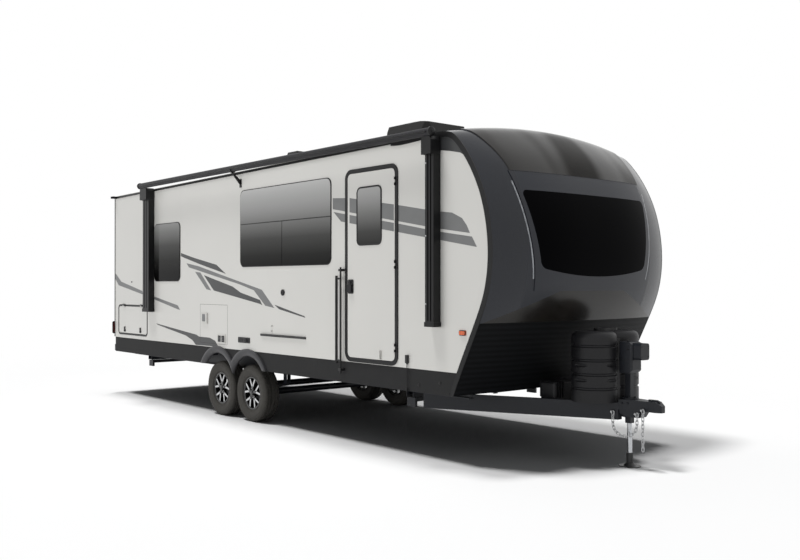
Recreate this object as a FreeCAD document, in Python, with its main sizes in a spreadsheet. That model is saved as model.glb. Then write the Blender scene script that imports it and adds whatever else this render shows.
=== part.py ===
import FreeCAD, Part
import math
import operator
import os
from types import SimpleNamespace

import Sketcher

Vector = FreeCAD.Vector
Rotation = FreeCAD.Rotation
Placement = FreeCAD.Placement

# Driving dimensions in millimetres. X points to the coupler, Y to the trailer's left, Z up from the ground.
DIMENSIONS = {
    # body shell
    "body_width": 2440,
    "body_rear": -4200,
    "wall_thickness": 40,
    "floor_top": 823,
    "floor_thickness": 63,
    "floor_front": 3010,
    "skirt_bottom": 614,
    "skirt_plate": 12,
    "skirt_inset": 3,
    "roof_edge_rear": 2880,
    "roof_edge_front": 2945,
    "roof_rise": 115,
    "roof_rim": 35,
    "roof_crown_thickness": 55,
    "roof_seam": 2150,
    # front cap
    "cap_skin": 34.5,
    "cap_bottom": 620,
    "cap_split": 1262,
    "cap_bulge_roof": 115,
    "cap_bulge_front": 150,
    "cap_bulge_foot": 45,
    "hood_rise": 9,
    "hood_edge": 2575,
    "mask_rise": 7,
    "mask_foot": 1535,
    "seam_gap": 0.5,
    "trim_width": 50,
    "trim_height": 8,
    # windshield outline, seen from the front
    "screen_top": 2405,
    "screen_bottom": 1723,
    "screen_top_half": 874,
    "screen_bottom_half": 737,
    "screen_sag": 60,
    "screen_corner": 60,
    "screen_glass": 12,
    # chassis
    "rail_height": 200,
    "rail_width": 70,
    "rail_web": 6,
    "rail_flange": 9,
    "rail_spacing": 1800,
    "rail_rear": -4150,
    "rail_front": 2900,
    "cross_height": 100,
    "cross_width": 50,
    "tongue_height": 150,
    "tongue_width": 50,
    "tongue_rear": 2230,
    "tongue_front": 3900,
    "tongue_nose_half": 100,
    "tongue_slope": 0.47,
    # axles and wheels
    "axle_height": 330,
    "front_axle": -434,
    "rear_axle": -1137,
    "axle_tube": 38,
    "tyre_radius": 330,
    "tyre_width": 203,
    "wheel_outer_face": 1190,
    "rim_radius": 190,
    "rim_wall": 10,
    "hub_radius": 40,
    "spoke_depth": 24,
    "spindle_radius": 22,
    "running_clearance": 0.05,
    "spring_span": 660,
    # windows and doors
    "window_band": 8,
    "window_corner": 70,
    "window_bar": 14,
    "window_stand": 6,
    "glass_thickness": 6,
    "door_rear": 1439,
    "door_front": 2253,
    "door_bottom": 828,
    "door_top": 2729,
    "door_corner": 95,
    "door_trim": 31,
    "door_gap": 5,
    "door_thickness": 38,
    # awning
    "awning_rear": -3100,
    "awning_front": 2850,
    "awning_tube": 37,
    "awning_out": 115,
    "awning_height": 2935,
    "arm_depth": 85,
    "arm_bottom": 1225,
    "arm_drop": 195,
    # roof units
    "aircon_rear": 950,
    "aircon_length": 740,
    "aircon_half": 335,
    "aircon_height": 310,
    "vent_x": -1190,
    "vent_half": 150,
    "vent_lap": 15,
    "vent_wall": 20,
    "vent_lid_height": 245,
    # gas cover, battery box and jack
    "gas_x": 3690,
    "gas_y": 160,
    "gas_radius": 200,
    "gas_height": 620,
    "battery_x": 3260,
    "jack_x": 3950,
    "jack_tube": 28,
    "jack_ram": 22,
    "jack_rest": 380,
    "jack_head_low": 820,
    "jack_sole_x": 95,
    "jack_sole_y": 80,
    # bumper
    "bumper_size": 95,
    "bumper_bottom": 615,
    "bumper_half": 1180,
}


class Size(float):
    """A number that keeps the expression on the sheet that it comes from."""

    def __new__(cls, value, text):
        size = super().__new__(cls, value)
        size.text = text
        return size

    def __add__(self, other):
        return worked_out(self, "+", other)

    def __radd__(self, other):
        return worked_out(other, "+", self)

    def __sub__(self, other):
        return worked_out(self, "-", other)

    def __rsub__(self, other):
        return worked_out(other, "-", self)

    def __mul__(self, other):
        return worked_out(self, "*", other)

    def __rmul__(self, other):
        return worked_out(other, "*", self)

    def __truediv__(self, other):
        return worked_out(self, "/", other)

    def __neg__(self):
        return worked_out(0, "-", self)


SIGNS = {"+": operator.add, "-": operator.sub, "*": operator.mul, "/": operator.truediv}


def text_of(size):
    return size.text if isinstance(size, Size) else f"{float(size):.10g}"


def worked_out(left, sign, right):
    """A sum, difference, product or share of two sizes, with its expression."""
    value = SIGNS[sign](float(left), float(right))
    return Size(value, f"({text_of(left)} {sign} {text_of(right)})")


os.makedirs("parts", exist_ok=True)
doc = FreeCAD.newDocument("caravan")
sheet = doc.addObject("Spreadsheet::Sheet", "dims")
for row, (alias, value) in enumerate(DIMENSIONS.items(), 1):
    sheet.set(f"A{row}", alias)
    sheet.set(f"B{row}", str(value))
    sheet.setAlias(f"B{row}", alias)
doc.recompute()
d = SimpleNamespace(**{alias: Size(sheet.get(alias), f"dims.{alias}") for alias in DIMENSIONS})

# Places worked out from the driving dimensions.
HALF = d.body_width / 2
WALL_IN = HALF - d.wall_thickness
FLOOR_BOTTOM = d.floor_top - d.floor_thickness
SKIRT_OUT = HALF - d.skirt_inset
SKIRT_IN = SKIRT_OUT - d.skirt_plate
RAIL_BOTTOM = FLOOR_BOTTOM - d.rail_height
RAIL_Y = d.rail_spacing / 2
TONGUE_BOTTOM = RAIL_BOTTOM - d.tongue_height
# A length that reaches past the whole object from any place in it.
FAR = d.tongue_front - d.body_rear

NODES = []


def node(name, part):
    """Names a document object as a sub-part of the caravan."""
    part.Label = name
    NODES.append(part)
    return part


def bind(part, prop, size):
    """Ties a property to a size on the sheet."""
    part.setExpression(prop, text_of(size))


def add(kind, **sizes):
    part = doc.addObject(kind, kind.split("::")[1])
    for prop, size in sizes.items():
        bind(part, prop, size)
    return part


def put(part, x, y, z, turn=Rotation()):
    """Places a document object at a tied point."""
    part.Placement = Placement(Vector(x, y, z), turn)
    for axis, size in zip("xyz", (x, y, z)):
        bind(part, f"Placement.Base.{axis}", size)
    return part


def shaped(shape):
    """A document object whose shape is worked out from the sheet's values."""
    part = doc.addObject("Part::Feature", "Shape")
    part.Shape = shape
    return part


def block(x0, x1, y0, y1, z0, z1):
    return put(add("Part::Box", Length=x1 - x0, Width=y1 - y0, Height=z1 - z0), x0, y0, z0)


TURNS = {"X": Rotation(Vector(0, 1, 0), 90), "Y": Rotation(Vector(1, 0, 0), -90), "Z": Rotation()}


def along(axis, low, first, second):
    """X, Y and Z of a point from its place along an axis and its two other coordinates."""
    place = [first, second]
    place.insert("XYZ".index(axis), low)
    return place


def rod(radius, axis, low, high, first, second):
    """A round bar along an axis, about the two other coordinates."""
    bar = add("Part::Cylinder", Radius=radius, Height=high - low)
    return put(bar, *along(axis, low, first, second), TURNS[axis])


def fused(*parts):
    whole = add("Part::MultiFuse")
    whole.Shapes = list(parts)
    whole.Refine = True
    return whole


def common(*parts):
    whole = add("Part::MultiCommon")
    whole.Shapes = list(parts)
    return whole


def cut(base, *tools):
    for tool in tools:
        rest = add("Part::Cut")
        rest.Base = base
        rest.Tool = tool
        base = rest
    return base


def group(*parts):
    whole = add("Part::Compound")
    whole.Links = list(parts)
    return whole


def mirror(part):
    """The same piece on the other side of the centre line."""
    other = add("Part::Mirroring")
    other.Source = part
    other.Normal = Vector(0, 1, 0)
    return other


def both(part):
    return group(part, mirror(part))


PLANES = {"X": "YZ_Plane", "Y": "XZ_Plane", "Z": "XY_Plane"}


def sketch(body, across, place):
    """A sketch on the plane across an axis, at a tied distance along it."""
    drawing = body.newObject("Sketcher::SketchObject", "Sketch")
    plane = next(item for item in body.Origin.OriginFeatures if item.Role == PLANES[across])
    drawing.AttachmentSupport = [(plane, "")]
    drawing.MapMode = "FlatFace"
    bind(drawing, "AttachmentOffset.Base.z", -place if across == "Y" else place)
    return drawing


def tie(drawing, kind, line, size):
    """Ties the start of a line to the sketch's origin along one direction."""
    index = drawing.addConstraint(Sketcher.Constraint(kind, -1, 1, line, 1, float(size)))
    bind(drawing, f"Constraints[{index}]", size)


def draw_outline(drawing, points):
    """A closed outline through points, each tied in both directions."""
    first = drawing.GeometryCount
    corners = [Vector(u, v, 0) for u, v in points]
    for start, end in zip(corners, corners[1:] + corners[:1]):
        drawing.addGeometry(Part.LineSegment(start, end), False)
    for i, (u, v) in enumerate(points):
        after = first + (i + 1) % len(points)
        drawing.addConstraint(Sketcher.Constraint("Coincident", first + i, 2, after, 1))
        tie(drawing, "DistanceX", first + i, u)
        tie(drawing, "DistanceY", first + i, v)


def draw_rounded(drawing, u0, u1, v0, v1, radius):
    """A rectangle with an arc of the same radius in each corner."""
    first = drawing.GeometryCount
    r = float(radius)
    lines = [
        ((u0 + r, v0), (u1 - r, v0)),
        ((u1, v0 + r), (u1, v1 - r)),
        ((u1 - r, v1), (u0 + r, v1)),
        ((u0, v1 - r), (u0, v0 + r)),
    ]
    for (a, b), (c, e) in lines:
        drawing.addGeometry(Part.LineSegment(Vector(a, b, 0), Vector(c, e, 0)), False)
    centres = [(u1 - r, v0 + r, -90), (u1 - r, v1 - r, 0), (u0 + r, v1 - r, 90), (u0 + r, v0 + r, 180)]
    for u, v, start in centres:
        circle = Part.Circle(Vector(u, v, 0), Vector(0, 0, 1), r)
        arc = Part.ArcOfCircle(circle, math.radians(start), math.radians(start + 90))
        drawing.addGeometry(arc, False)
    for i in range(4):
        drawing.addConstraint(Sketcher.Constraint("Tangent", first + i, 2, first + 4 + i, 1))
        drawing.addConstraint(Sketcher.Constraint("Tangent", first + 4 + i, 2, first + (i + 1) % 4, 1))
        drawing.addConstraint(Sketcher.Constraint("Vertical" if i % 2 else "Horizontal", first + i))
    for i in range(1, 4):
        drawing.addConstraint(Sketcher.Constraint("Equal", first + 4, first + 4 + i))
    index = drawing.addConstraint(Sketcher.Constraint("Radius", first + 4, r))
    bind(drawing, f"Constraints[{index}]", radius)
    tie(drawing, "DistanceY", first, v0)
    tie(drawing, "DistanceX", first + 1, u1)
    tie(drawing, "DistanceY", first + 2, v1)
    tie(drawing, "DistanceX", first + 3, u0)


def pad(body, drawing, length):
    made = body.newObject("PartDesign::Pad", "Pad")
    made.Profile = drawing
    bind(made, "Length", length)
    return made


def prism(across, points, low, high):
    """A body whose outline lies across an axis, from low to high along it."""
    body = add("PartDesign::Body")
    drawing = sketch(body, across, high if across == "Y" else low)
    draw_outline(drawing, points)
    pad(body, drawing, high - low)
    return body


def panel(across, u0, u1, v0, v1, radius, low, high, band=0):
    """A rounded plate across an axis, or a rounded frame where it has a band."""
    body = add("PartDesign::Body")
    drawing = sketch(body, across, high if across == "Y" else low)
    draw_rounded(drawing, u0, u1, v0, v1, radius)
    if band:
        draw_rounded(drawing, u0 + band, u1 - band, v0 + band, v1 - band, radius - band)
    pad(body, drawing, high - low)
    return body


def turned(across, points, axis):
    """A body of revolution from an outline across X or Y, about the sketch's H or V axis."""
    body = add("PartDesign::Body")
    drawing = sketch(body, across, 0)
    draw_outline(drawing, points)
    made = body.newObject("PartDesign::Revolution", "Revolution")
    made.Profile = drawing
    made.ReferenceAxis = (drawing, [f"{axis}_Axis"])
    made.Angle = 360
    return body


def soften(body, radius, chosen):
    """Rounds the edges of a body that a test on their bounds picks."""
    doc.recompute()
    tip = body.Tip
    names = [f"Edge{i}" for i, edge in enumerate(tip.Shape.Edges, 1) if chosen(edge.BoundBox)]
    made = body.newObject("PartDesign::Fillet", "Fillet")
    made.Base = (tip, names)
    bind(made, "Radius", radius)
    return body


def slab(x0, x1, y0, y1, z0, z1):
    return Part.makeBox(x1 - x0, y1 - y0, z1 - z0, Vector(x0, y0, z0))


def bar(radius, start, end):
    """A round bar from one point to another."""
    return Part.makeCylinder(radius, (end - start).Length, start, end - start)


def one(shapes):
    """One solid from several that touch or overlap."""
    return shapes[0].fuse(shapes[1:]).removeSplitter()


def spline(points):
    curve = Part.BSplineCurve()
    curve.interpolate(points)
    return curve


def lines(points):
    return [Part.makeLine(a, b) for a, b in zip(points, points[1:])]


# The cap's side profile in X and Z, from the roof seam round to its foot.
PROFILE = [
    (d.roof_seam, d.roof_edge_front),
    (2600, d.roof_edge_front + 3),
    (2850, d.roof_edge_front - 2),
    (2977, 2920),
    (3090, 2830),
    (3247, 2624),
    (3370, 2380),
    (3448, 2080),
    (3464, 1795),
    (3412, 1496),
    (3300, 1235),
    (3150, 935),
    (3000, d.cap_bottom),
]


def profile_curve(inset):
    """The cap's side profile, moved inwards, with the direction along it at each point."""
    base = spline([Vector(x, 0, z) for x, z in PROFILE])
    moved = []
    for x, z in PROFILE:
        heading = base.tangent(base.parameter(Vector(x, 0, z)))[0]
        moved.append((x + heading.z * inset, z - heading.x * inset, heading))
    return moved


def cap_sections(inset, reach):
    """Closed wires across the body whose front edge follows the cap's bulge."""
    wires = []
    for share in (-1, -0.93, -0.8, -0.55, 0, 0.55, 0.8, 0.93, 1):
        points = []
        for (x, z, heading), (_, height) in zip(profile_curve(inset), PROFILE):
            steep = min(1, max(0, (d.roof_edge_front - height) / 300))
            low = min(1, max(0, (1700 - height) / (1700 - d.cap_bottom)))
            bulge = d.cap_bulge_roof + (d.cap_bulge_front - d.cap_bulge_roof) * steep
            bulge += (d.cap_bulge_foot - d.cap_bulge_front) * low
            out = bulge * (1 - abs(share) ** (2 + steep))
            points.append(Vector(x - heading.z * out, share * HALF, z + heading.x * out))
        points[0].x = d.roof_seam - (1 if inset else 0)
        points[-1].z = d.cap_bottom - (1 if inset else 0)
        wires.append(points)
    if reach:
        wires.insert(0, [Vector(p.x, -HALF - reach, p.z) for p in wires[0]])
        wires.append([Vector(p.x, HALF + reach, p.z) for p in wires[-1]])
    closed = []
    for points in wires:
        corner = Vector(points[0].x, points[0].y, points[-1].z)
        closed.append(Part.Wire([spline(points).toShape()] + lines([points[-1], corner, points[0]])))
    return closed


def cap_solid(inset, reach):
    return Part.makeLoft(cap_sections(inset, reach), True, False)


def side_region(inset, y0, y1):
    """The side wall's whole area behind the cap's edge, down to the skirt's bottom."""
    points = [Vector(x, y0, z) for x, z, _ in profile_curve(inset)]
    points[0].x = d.roof_seam
    points[0].z = d.roof_edge_front - inset - d.seam_gap
    points[-1].z = d.cap_bottom
    rear = d.body_rear + d.wall_thickness
    corners = [
        points[-1],
        Vector(points[-1].x - 3, y0, d.skirt_bottom),
        Vector(rear, y0, d.skirt_bottom),
        Vector(rear, y0, d.roof_edge_rear - d.roof_rim - d.seam_gap),
        points[0],
    ]
    outline = Part.Wire([spline(points).toShape()] + lines(corners))
    return Part.Face(outline).extrude(Vector(0, y1 - y0, 0))


ROOF_LEDGE = 50


def roof_section(x, edge):
    """The roof's crowned section at one place along the body."""
    low = edge - d.roof_rim
    inner = HALF - ROOF_LEDGE
    under = edge + d.roof_rise - d.roof_crown_thickness
    over = Part.Arc(Vector(x, -HALF, edge), Vector(x, 0, edge + d.roof_rise), Vector(x, HALF, edge))
    below = Part.Arc(Vector(x, inner, low), Vector(x, 0, under), Vector(x, -inner, low))
    right = [Vector(x, HALF, edge), Vector(x, HALF, low), Vector(x, inner, low)]
    left = [Vector(x, -inner, low), Vector(x, -HALF, low), Vector(x, -HALF, edge)]
    return Part.Wire([over.toShape()] + lines(right) + [below.toShape()] + lines(left))


def roof_edge_at(x):
    share = (x - d.body_rear) / (d.roof_seam - d.body_rear)
    return d.roof_edge_rear + (d.roof_edge_front - d.roof_edge_rear) * share


def crown_at(x):
    return roof_edge_at(x) + d.roof_rise


def rear_outline():
    """The rear wall's face, arched at the top under the roof."""
    x = d.body_rear
    low = d.roof_edge_rear - d.roof_rim
    inner = HALF - ROOF_LEDGE
    under = d.roof_edge_rear + d.roof_rise - d.roof_crown_thickness
    arch = Part.Arc(Vector(x, inner, low), Vector(x, 0, under), Vector(x, -inner, low))
    right = [Vector(x, -HALF, d.floor_top), Vector(x, HALF, d.floor_top), Vector(x, HALF, low), Vector(x, inner, low)]
    left = [Vector(x, -inner, low), Vector(x, -HALF, low), Vector(x, -HALF, d.floor_top)]
    return Part.Face(Part.Wire(lines(right) + [arch.toShape()] + lines(left)))


def screen_outline(inset):
    """The windshield's outline seen from the front, with a sagging lower edge."""
    x = d.roof_seam
    top, low = d.screen_top - inset, d.screen_bottom + inset
    wide, narrow = d.screen_top_half - inset, d.screen_bottom_half - inset
    slope = (wide - narrow) / (top - low)
    r = d.screen_corner
    upper = [Vector(x, wide - slope * r, top - r), Vector(x, wide - r * 0.3, top - r * 0.3), Vector(x, wide - r, top)]
    lower = [Vector(x, narrow - r, low), Vector(x, narrow - r * 0.3, low + r * 0.3), Vector(x, narrow + slope * r, low + r)]
    edges = [Part.Arc(*upper).toShape(), Part.Arc(*lower).toShape()]
    edges.append(Part.makeLine(lower[2], upper[0]))
    edges += [edge.mirror(Vector(0, 0, 0), Vector(0, 1, 0)) for edge in edges]
    edges.append(Part.makeLine(upper[2], Vector(x, -upper[2].y, top)))
    sag = Part.Arc(lower[0], Vector(x, 0, low - d.screen_sag), Vector(x, -lower[0].y, low))
    edges.append(sag.toShape())
    return Part.Wire(Part.__sortEdges__(edges))


def forward(outline):
    """The space in front of an outline that lies across X at the roof's seam."""
    return Part.Face(outline).extrude(Vector(FAR, 0, 0))


def front_polygon(points):
    """A closed outline across X from points in Y and Z, mirrored about the centre line."""
    half = [Vector(d.roof_seam, y, z) for y, z in points]
    other = [Vector(p.x, -p.y, p.z) for p in reversed(half)]
    return Part.makePolygon(half + other + half[:1])


STRIP_LOW = (d.screen_bottom_half + 69, d.screen_bottom - 83)
STRIP_TOP = (d.screen_top_half + 61, d.screen_top + 75)
STRIP_WIDTH = 12
STRIP_STAND = 4
MASK_MARGIN = 10


def cap_outer():
    """The cap's outside with the raised hood over the windshield and the mask round it."""
    (y0, z0), (y1, z1) = STRIP_LOW, STRIP_TOP
    slope = (y1 - y0) / (z1 - z0)
    foot = y0 - MASK_MARGIN - slope * (z0 - d.mask_foot)
    brow = y1 - MASK_MARGIN + slope * (d.hood_edge - z1)
    mask = forward(front_polygon([(foot, d.mask_foot), (brow, d.hood_edge)]))
    half = HALF - 100
    plan = [(d.roof_seam + 40, half), (3000, half - 80), (3900, brow - 180)]
    plan += [(x, -y) for x, y in reversed(plan)]
    points = [Vector(x, y, d.hood_edge) for x, y in plan]
    hood = Part.Face(Part.makePolygon(points + points[:1])).extrude(Vector(0, 0, FAR))
    raised = [cap_solid(-d.mask_rise, 0).common(mask), cap_solid(-d.hood_rise, 0).common(hood)]
    return cap_solid(0, 0).fuse(raised)


def cap_strips():
    """A slim lamp strip on each side of the windshield, seated on the cap."""
    (y0, z0), (y1, z1) = STRIP_LOW, STRIP_TOP
    corners = [(y0, z0), (y0 + STRIP_WIDTH, z0), (y1 + STRIP_WIDTH, z1), (y1, z1)]
    points = [Vector(d.roof_seam, y, z) for y, z in corners]
    band = forward(Part.makePolygon(points + points[:1]))
    return band.common(cap_solid(-STRIP_STAND, 0)).cut(cap_solid(0, 0))


# Windows as X and Z from the lower rear corner to the upper front corner.
MAIN_WINDOW = (-596, 1191, 1800, 2680)
BED_WINDOW = (-2870, -2129, 1638, 2398)
LEFT_WINDOW = (-596, 604, 1800, 2500)
# The main window's level bar, and the upright one below it.
MAIN_BARS = (289, 2288)
HATCH = (-4040, -3115, 890, 1280)
HATCH_CORNER = 40
DOOR_OPENING = (
    d.door_rear + d.door_trim,
    d.door_front - d.door_trim,
    d.door_bottom + d.door_trim,
    d.door_top - d.door_trim,
)


def make_shell():
    outer = cap_outer()
    shell = outer.cut(cap_solid(d.cap_skin, 40))
    lower = slab(0, FAR, -FAR, FAR, 0, d.cap_split)
    upper = slab(0, FAR, -FAR, FAR, d.cap_split + d.seam_gap, FAR)
    node("front_guard", shaped(shell.common(lower)))
    node("front_cap", shaped(shell.common(upper).cut(forward(screen_outline(0)))))
    glass = outer.common(forward(screen_outline(1))).cut(cap_solid(d.screen_glass, 40))
    node("windshield", shaped(glass))
    strips = shaped(cap_strips())
    node("cap_lamps", both(strips))
    region = shaped(side_region(d.cap_skin + d.seam_gap, WALL_IN, HALF))
    wall = common(region, block(-FAR, FAR, 0, FAR, d.floor_top, FAR))

    def holes(spots, side):
        y0, y1 = sorted((side * (HALF + 5), side * (WALL_IN - 5)))
        return [panel("Y", *spot, corner, y0, y1) for spot, corner in spots]

    glazed = [(spot, d.window_corner) for spot in (MAIN_WINDOW, BED_WINDOW)]
    doorway = (DOOR_OPENING, d.door_corner - d.door_trim)
    hatchway = (HATCH, HATCH_CORNER)
    node("wall_right", cut(mirror(wall), *holes(glazed + [doorway, hatchway], -1)))
    glazed = [(spot, d.window_corner) for spot in (LEFT_WINDOW, BED_WINDOW)]
    node("wall_left", cut(wall, *holes(glazed + [hatchway], 1)))
    sections = [roof_section(d.body_rear, d.roof_edge_rear), roof_section(d.roof_seam, d.roof_edge_front)]
    roof = shaped(Part.makeLoft(sections, True, True))
    hole = d.vent_half - d.vent_wall - 5
    well = block(d.vent_x - hole, d.vent_x + hole, -hole, hole, d.roof_edge_rear, crown_at(d.vent_x) + 100)
    node("roof", cut(roof, well))
    node("wall_rear", shaped(rear_outline().extrude(Vector(d.wall_thickness, 0, 0))))
    floor_rear = d.body_rear + d.wall_thickness
    node("floor", block(floor_rear, d.floor_front, -SKIRT_IN, SKIRT_IN, FLOOR_BOTTOM, d.floor_top))
    band = side_region(0, HALF, HALF + d.trim_height).cut(side_region(d.trim_width, HALF - 1, HALF + 20))
    ahead = block(d.roof_seam, FAR, 0, FAR, d.cap_bottom, FAR)
    node("cap_trim", both(common(shaped(band), ahead)))
    return roof


def make_windows():
    """Frames in the window openings, each with a flange outside, and the panes in them."""
    frames = []
    panes = []
    band, stand, bar_width = d.window_band, d.window_stand, d.window_bar

    def window(x0, x1, z0, z1, bars=None):
        liner = panel("Y", x0, x1, z0, z1, d.window_corner, WALL_IN + 2, HALF + 1, band)
        grown = (x0 - band, x1 + band, z0 - band, z1 + band)
        flange = panel("Y", *grown, d.window_corner + band, HALF, HALF + stand, 2 * band)
        glass = panel("Y", x0 + band, x1 - band, z0 + band, z1 - band, d.window_corner - band, *GLASS_SPAN)
        parts = [liner, flange]
        if bars:
            x, z = bars
            level = (x0 + band - 1, x1 - band + 1, HALF - stand, HALF + stand, z - bar_width / 2, z + bar_width / 2)
            upright = (x - bar_width / 2, x + bar_width / 2, HALF - stand, HALF + stand, z0 + band - 1, z)
            parts += [block(*level), block(*upright)]
            glass = cut(glass, block(*level), block(*upright))
        return fused(*parts), glass

    for spot, side, bars in [
        (MAIN_WINDOW, -1, MAIN_BARS),
        (BED_WINDOW, -1, None),
        (LEFT_WINDOW, 1, None),
        (BED_WINDOW, 1, None),
    ]:
        frame, pane = window(*spot, bars)
        frames.append(frame if side > 0 else mirror(frame))
        panes.append(pane if side > 0 else mirror(pane))
    node("window_frames", group(*frames))
    node("window_panes", group(*panes))


GLASS_SPAN = (HALF + d.window_stand - 2 - d.glass_thickness, HALF + d.window_stand - 2)
ARCH_BAND = 40
ARCH_RADIUS = 428
ARCH_RISE = 45


def arches(grow, y0, y1):
    """The space of the two round wheel arches, which meet between the wheels."""
    hoops = [
        rod(ARCH_RADIUS + grow, "Y", y0, y1, axle, d.axle_height + ARCH_RISE)
        for axle in (d.front_axle, d.rear_axle)
    ]
    return common(fused(*hoops), block(-FAR, FAR, y0, y1, d.skirt_bottom - 0.1, FAR))


def make_skirts():
    region = shaped(side_region(d.cap_skin + d.seam_gap, SKIRT_IN, SKIRT_OUT))
    skirt = common(region, block(-FAR, FAR, 0, FAR, d.skirt_bottom, d.floor_top))
    skirt = cut(skirt, arches(0, SKIRT_IN - 5, SKIRT_OUT + 5))
    rear = d.body_rear
    apron = block(rear, rear + d.skirt_plate, -SKIRT_IN, SKIRT_IN, d.skirt_bottom, d.floor_top - 0.2)
    node("skirts", group(skirt, mirror(skirt), apron))
    band = cut(arches(ARCH_BAND, SKIRT_OUT, HALF + 22), arches(0, SKIRT_OUT - 5, HALF + 30))
    band = common(band, block(-FAR, FAR, 0, FAR, d.skirt_bottom, FAR))
    band = cut(band, block(-FAR, FAR, 0, HALF, d.floor_top - 0.2, FAR))
    node("arch_trims", both(band))


CROSS_X = (-4100, -3300, -2500, -1700, 60, 900, 1650, 2500)


def make_chassis():
    """The two rolled main beams."""
    flange = d.rail_width / 2
    web = d.rail_web / 2
    low, top = RAIL_BOTTOM, FLOOR_BOTTOM
    right = [
        (RAIL_Y + flange, low),
        (RAIL_Y + flange, low + d.rail_flange),
        (RAIL_Y + web, low + d.rail_flange),
        (RAIL_Y + web, top - d.rail_flange),
        (RAIL_Y + flange, top - d.rail_flange),
        (RAIL_Y + flange, top),
    ]
    left = [(RAIL_Y * 2 - y, z) for y, z in reversed(right)]
    node("chassis_rails", both(prism("X", right + left, d.rail_rear, d.rail_front)))


def chassis_bars():
    """Cross channels between the main rails, and outriggers from the rails to the skirts."""
    bars = []
    low = FLOOR_BOTTOM - d.cross_height
    inner = RAIL_Y - d.rail_width / 2
    outer = RAIL_Y + d.rail_width / 2
    for x in CROSS_X:
        bars.append(block(x, x + d.cross_width, -inner, inner, low, FLOOR_BOTTOM))
        outrigger = block(x, x + d.cross_width, outer, SKIRT_IN, low + 30, FLOOR_BOTTOM)
        bars += [outrigger, mirror(outrigger)]
    return bars


RAIL_ACROSS = d.tongue_width * math.sqrt(1 + d.tongue_slope**2)
SEAT_LOW = TONGUE_BOTTOM + 50
SEAT_TOP = TONGUE_BOTTOM + 90


def tongue_outer(x):
    return d.tongue_nose_half + d.tongue_slope * (d.tongue_front - x)


def make_tongue():
    """The A-frame's two rails, and the bars between them that carry the battery box."""
    x0, x1 = d.tongue_rear, d.tongue_front
    corners = [
        (x0, tongue_outer(x0) - RAIL_ACROSS),
        (x1, tongue_outer(x1) - RAIL_ACROSS),
        (x1, tongue_outer(x1)),
        (x0, tongue_outer(x0)),
    ]
    node("tongue_rails", both(prism("Z", corners, TONGUE_BOTTOM, RAIL_BOTTOM)))
    seats = []
    for x in (d.battery_x - 60, d.battery_x + 60):
        half = tongue_outer(x + 40) - RAIL_ACROSS - 0.2
        seats.append(block(x, x + 40, -half, half, SEAT_LOW, SEAT_TOP))
    node("cross_members", group(*chassis_bars(), *seats))


BATTERY_HALF = 85
BATTERY_SPAN = (-290, 190)
BATTERY_RIBS = 4


def make_battery_box():
    """A box whose lid laps over it, with ribs moulded over the lid's right end."""
    x = d.battery_x
    y0, y1 = BATTERY_SPAN
    box = panel("Z", x - BATTERY_HALF, x + BATTERY_HALF, y0, y1, 20, SEAT_TOP, SEAT_TOP + 160)
    lap = BATTERY_HALF + 7
    lid = panel("Z", x - lap, x + lap, y0 - 7, y1 + 7, 26, SEAT_TOP + 150, SEAT_TOP + 200)
    soften(lid, 12, lambda edge: edge.ZMin > SEAT_TOP + 190)
    ribs = []
    for i in range(BATTERY_RIBS):
        y = y0 + 10 + 34 * i
        ribs.append(block(x - lap - 4, x + lap + 4, y, y + 12, SEAT_TOP + 60, SEAT_TOP + 205))
    node("battery_box", fused(box, lid, *ribs))


GAS_BANDS = 4
GAS_GROOVE = 10
DIMPLE_RADIUS = 16


def make_gas_cover():
    """Two round covers side by side with level grooves, dimples and domed shoulders."""
    low, r = RAIL_BOTTOM, d.gas_radius
    top = low + d.gas_height
    pitch = d.gas_height / (GAS_BANDS + 1)
    outline = [(0, low), (r, low)]
    for i in range(1, GAS_BANDS + 1):
        z = low + i * pitch
        outline += [(r, z - 16), (r - GAS_GROOVE, z - 8), (r - GAS_GROOVE, z + 2), (r, z + 12)]
    outline += [(r, top), (0, top)]
    lobe = turned("Y", outline, "V")
    soften(lobe, pitch / 2, lambda edge: edge.ZMin > top - 1)
    right = put(lobe, d.gas_x, -d.gas_y, 0)
    waist = r * 0.72
    between = block(d.gas_x - waist, d.gas_x + waist, -d.gas_y, d.gas_y, low, top - pitch / 2)
    plate = panel("Z", d.gas_x - 60, d.gas_x + 60, -130, 130, 59, top - 20, top + 22)
    cover = fused(right, mirror(right), between, plate)
    dimples = []
    for i in (1.5, 2.5):
        z = low + i * pitch * GAS_BANDS / (GAS_BANDS - 0.2)
        for side in (-1, 1):
            x = d.gas_x + side * (r + 4)
            y = side * (d.gas_y + r + 4)
            dimples.append(rod(DIMPLE_RADIUS, "Y", -FAR, FAR, x, z))
            dimples.append(rod(DIMPLE_RADIUS, "X", d.gas_x - FAR, d.gas_x + FAR, y, z))
    node("gas_cover", cut(cover, group(*dimples)))


BALL_X = d.tongue_front + 315
NOSE_X = BALL_X + 75
SOCKET_RADIUS = 30
COUPLER_TOP = RAIL_BOTTOM + 30
COUPLER_LOW = RAIL_BOTTOM - 60
WEDGE_LOW = RAIL_BOTTOM - 120
NECK_X = BALL_X - 60
NECK_HALF = 48


def coupler_half(x):
    """Half the coupler's width between its back and its neck."""
    share = (x - d.tongue_front) / (NECK_X - d.tongue_front)
    return d.tongue_nose_half + (NECK_HALF - d.tongue_nose_half) * share


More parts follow.
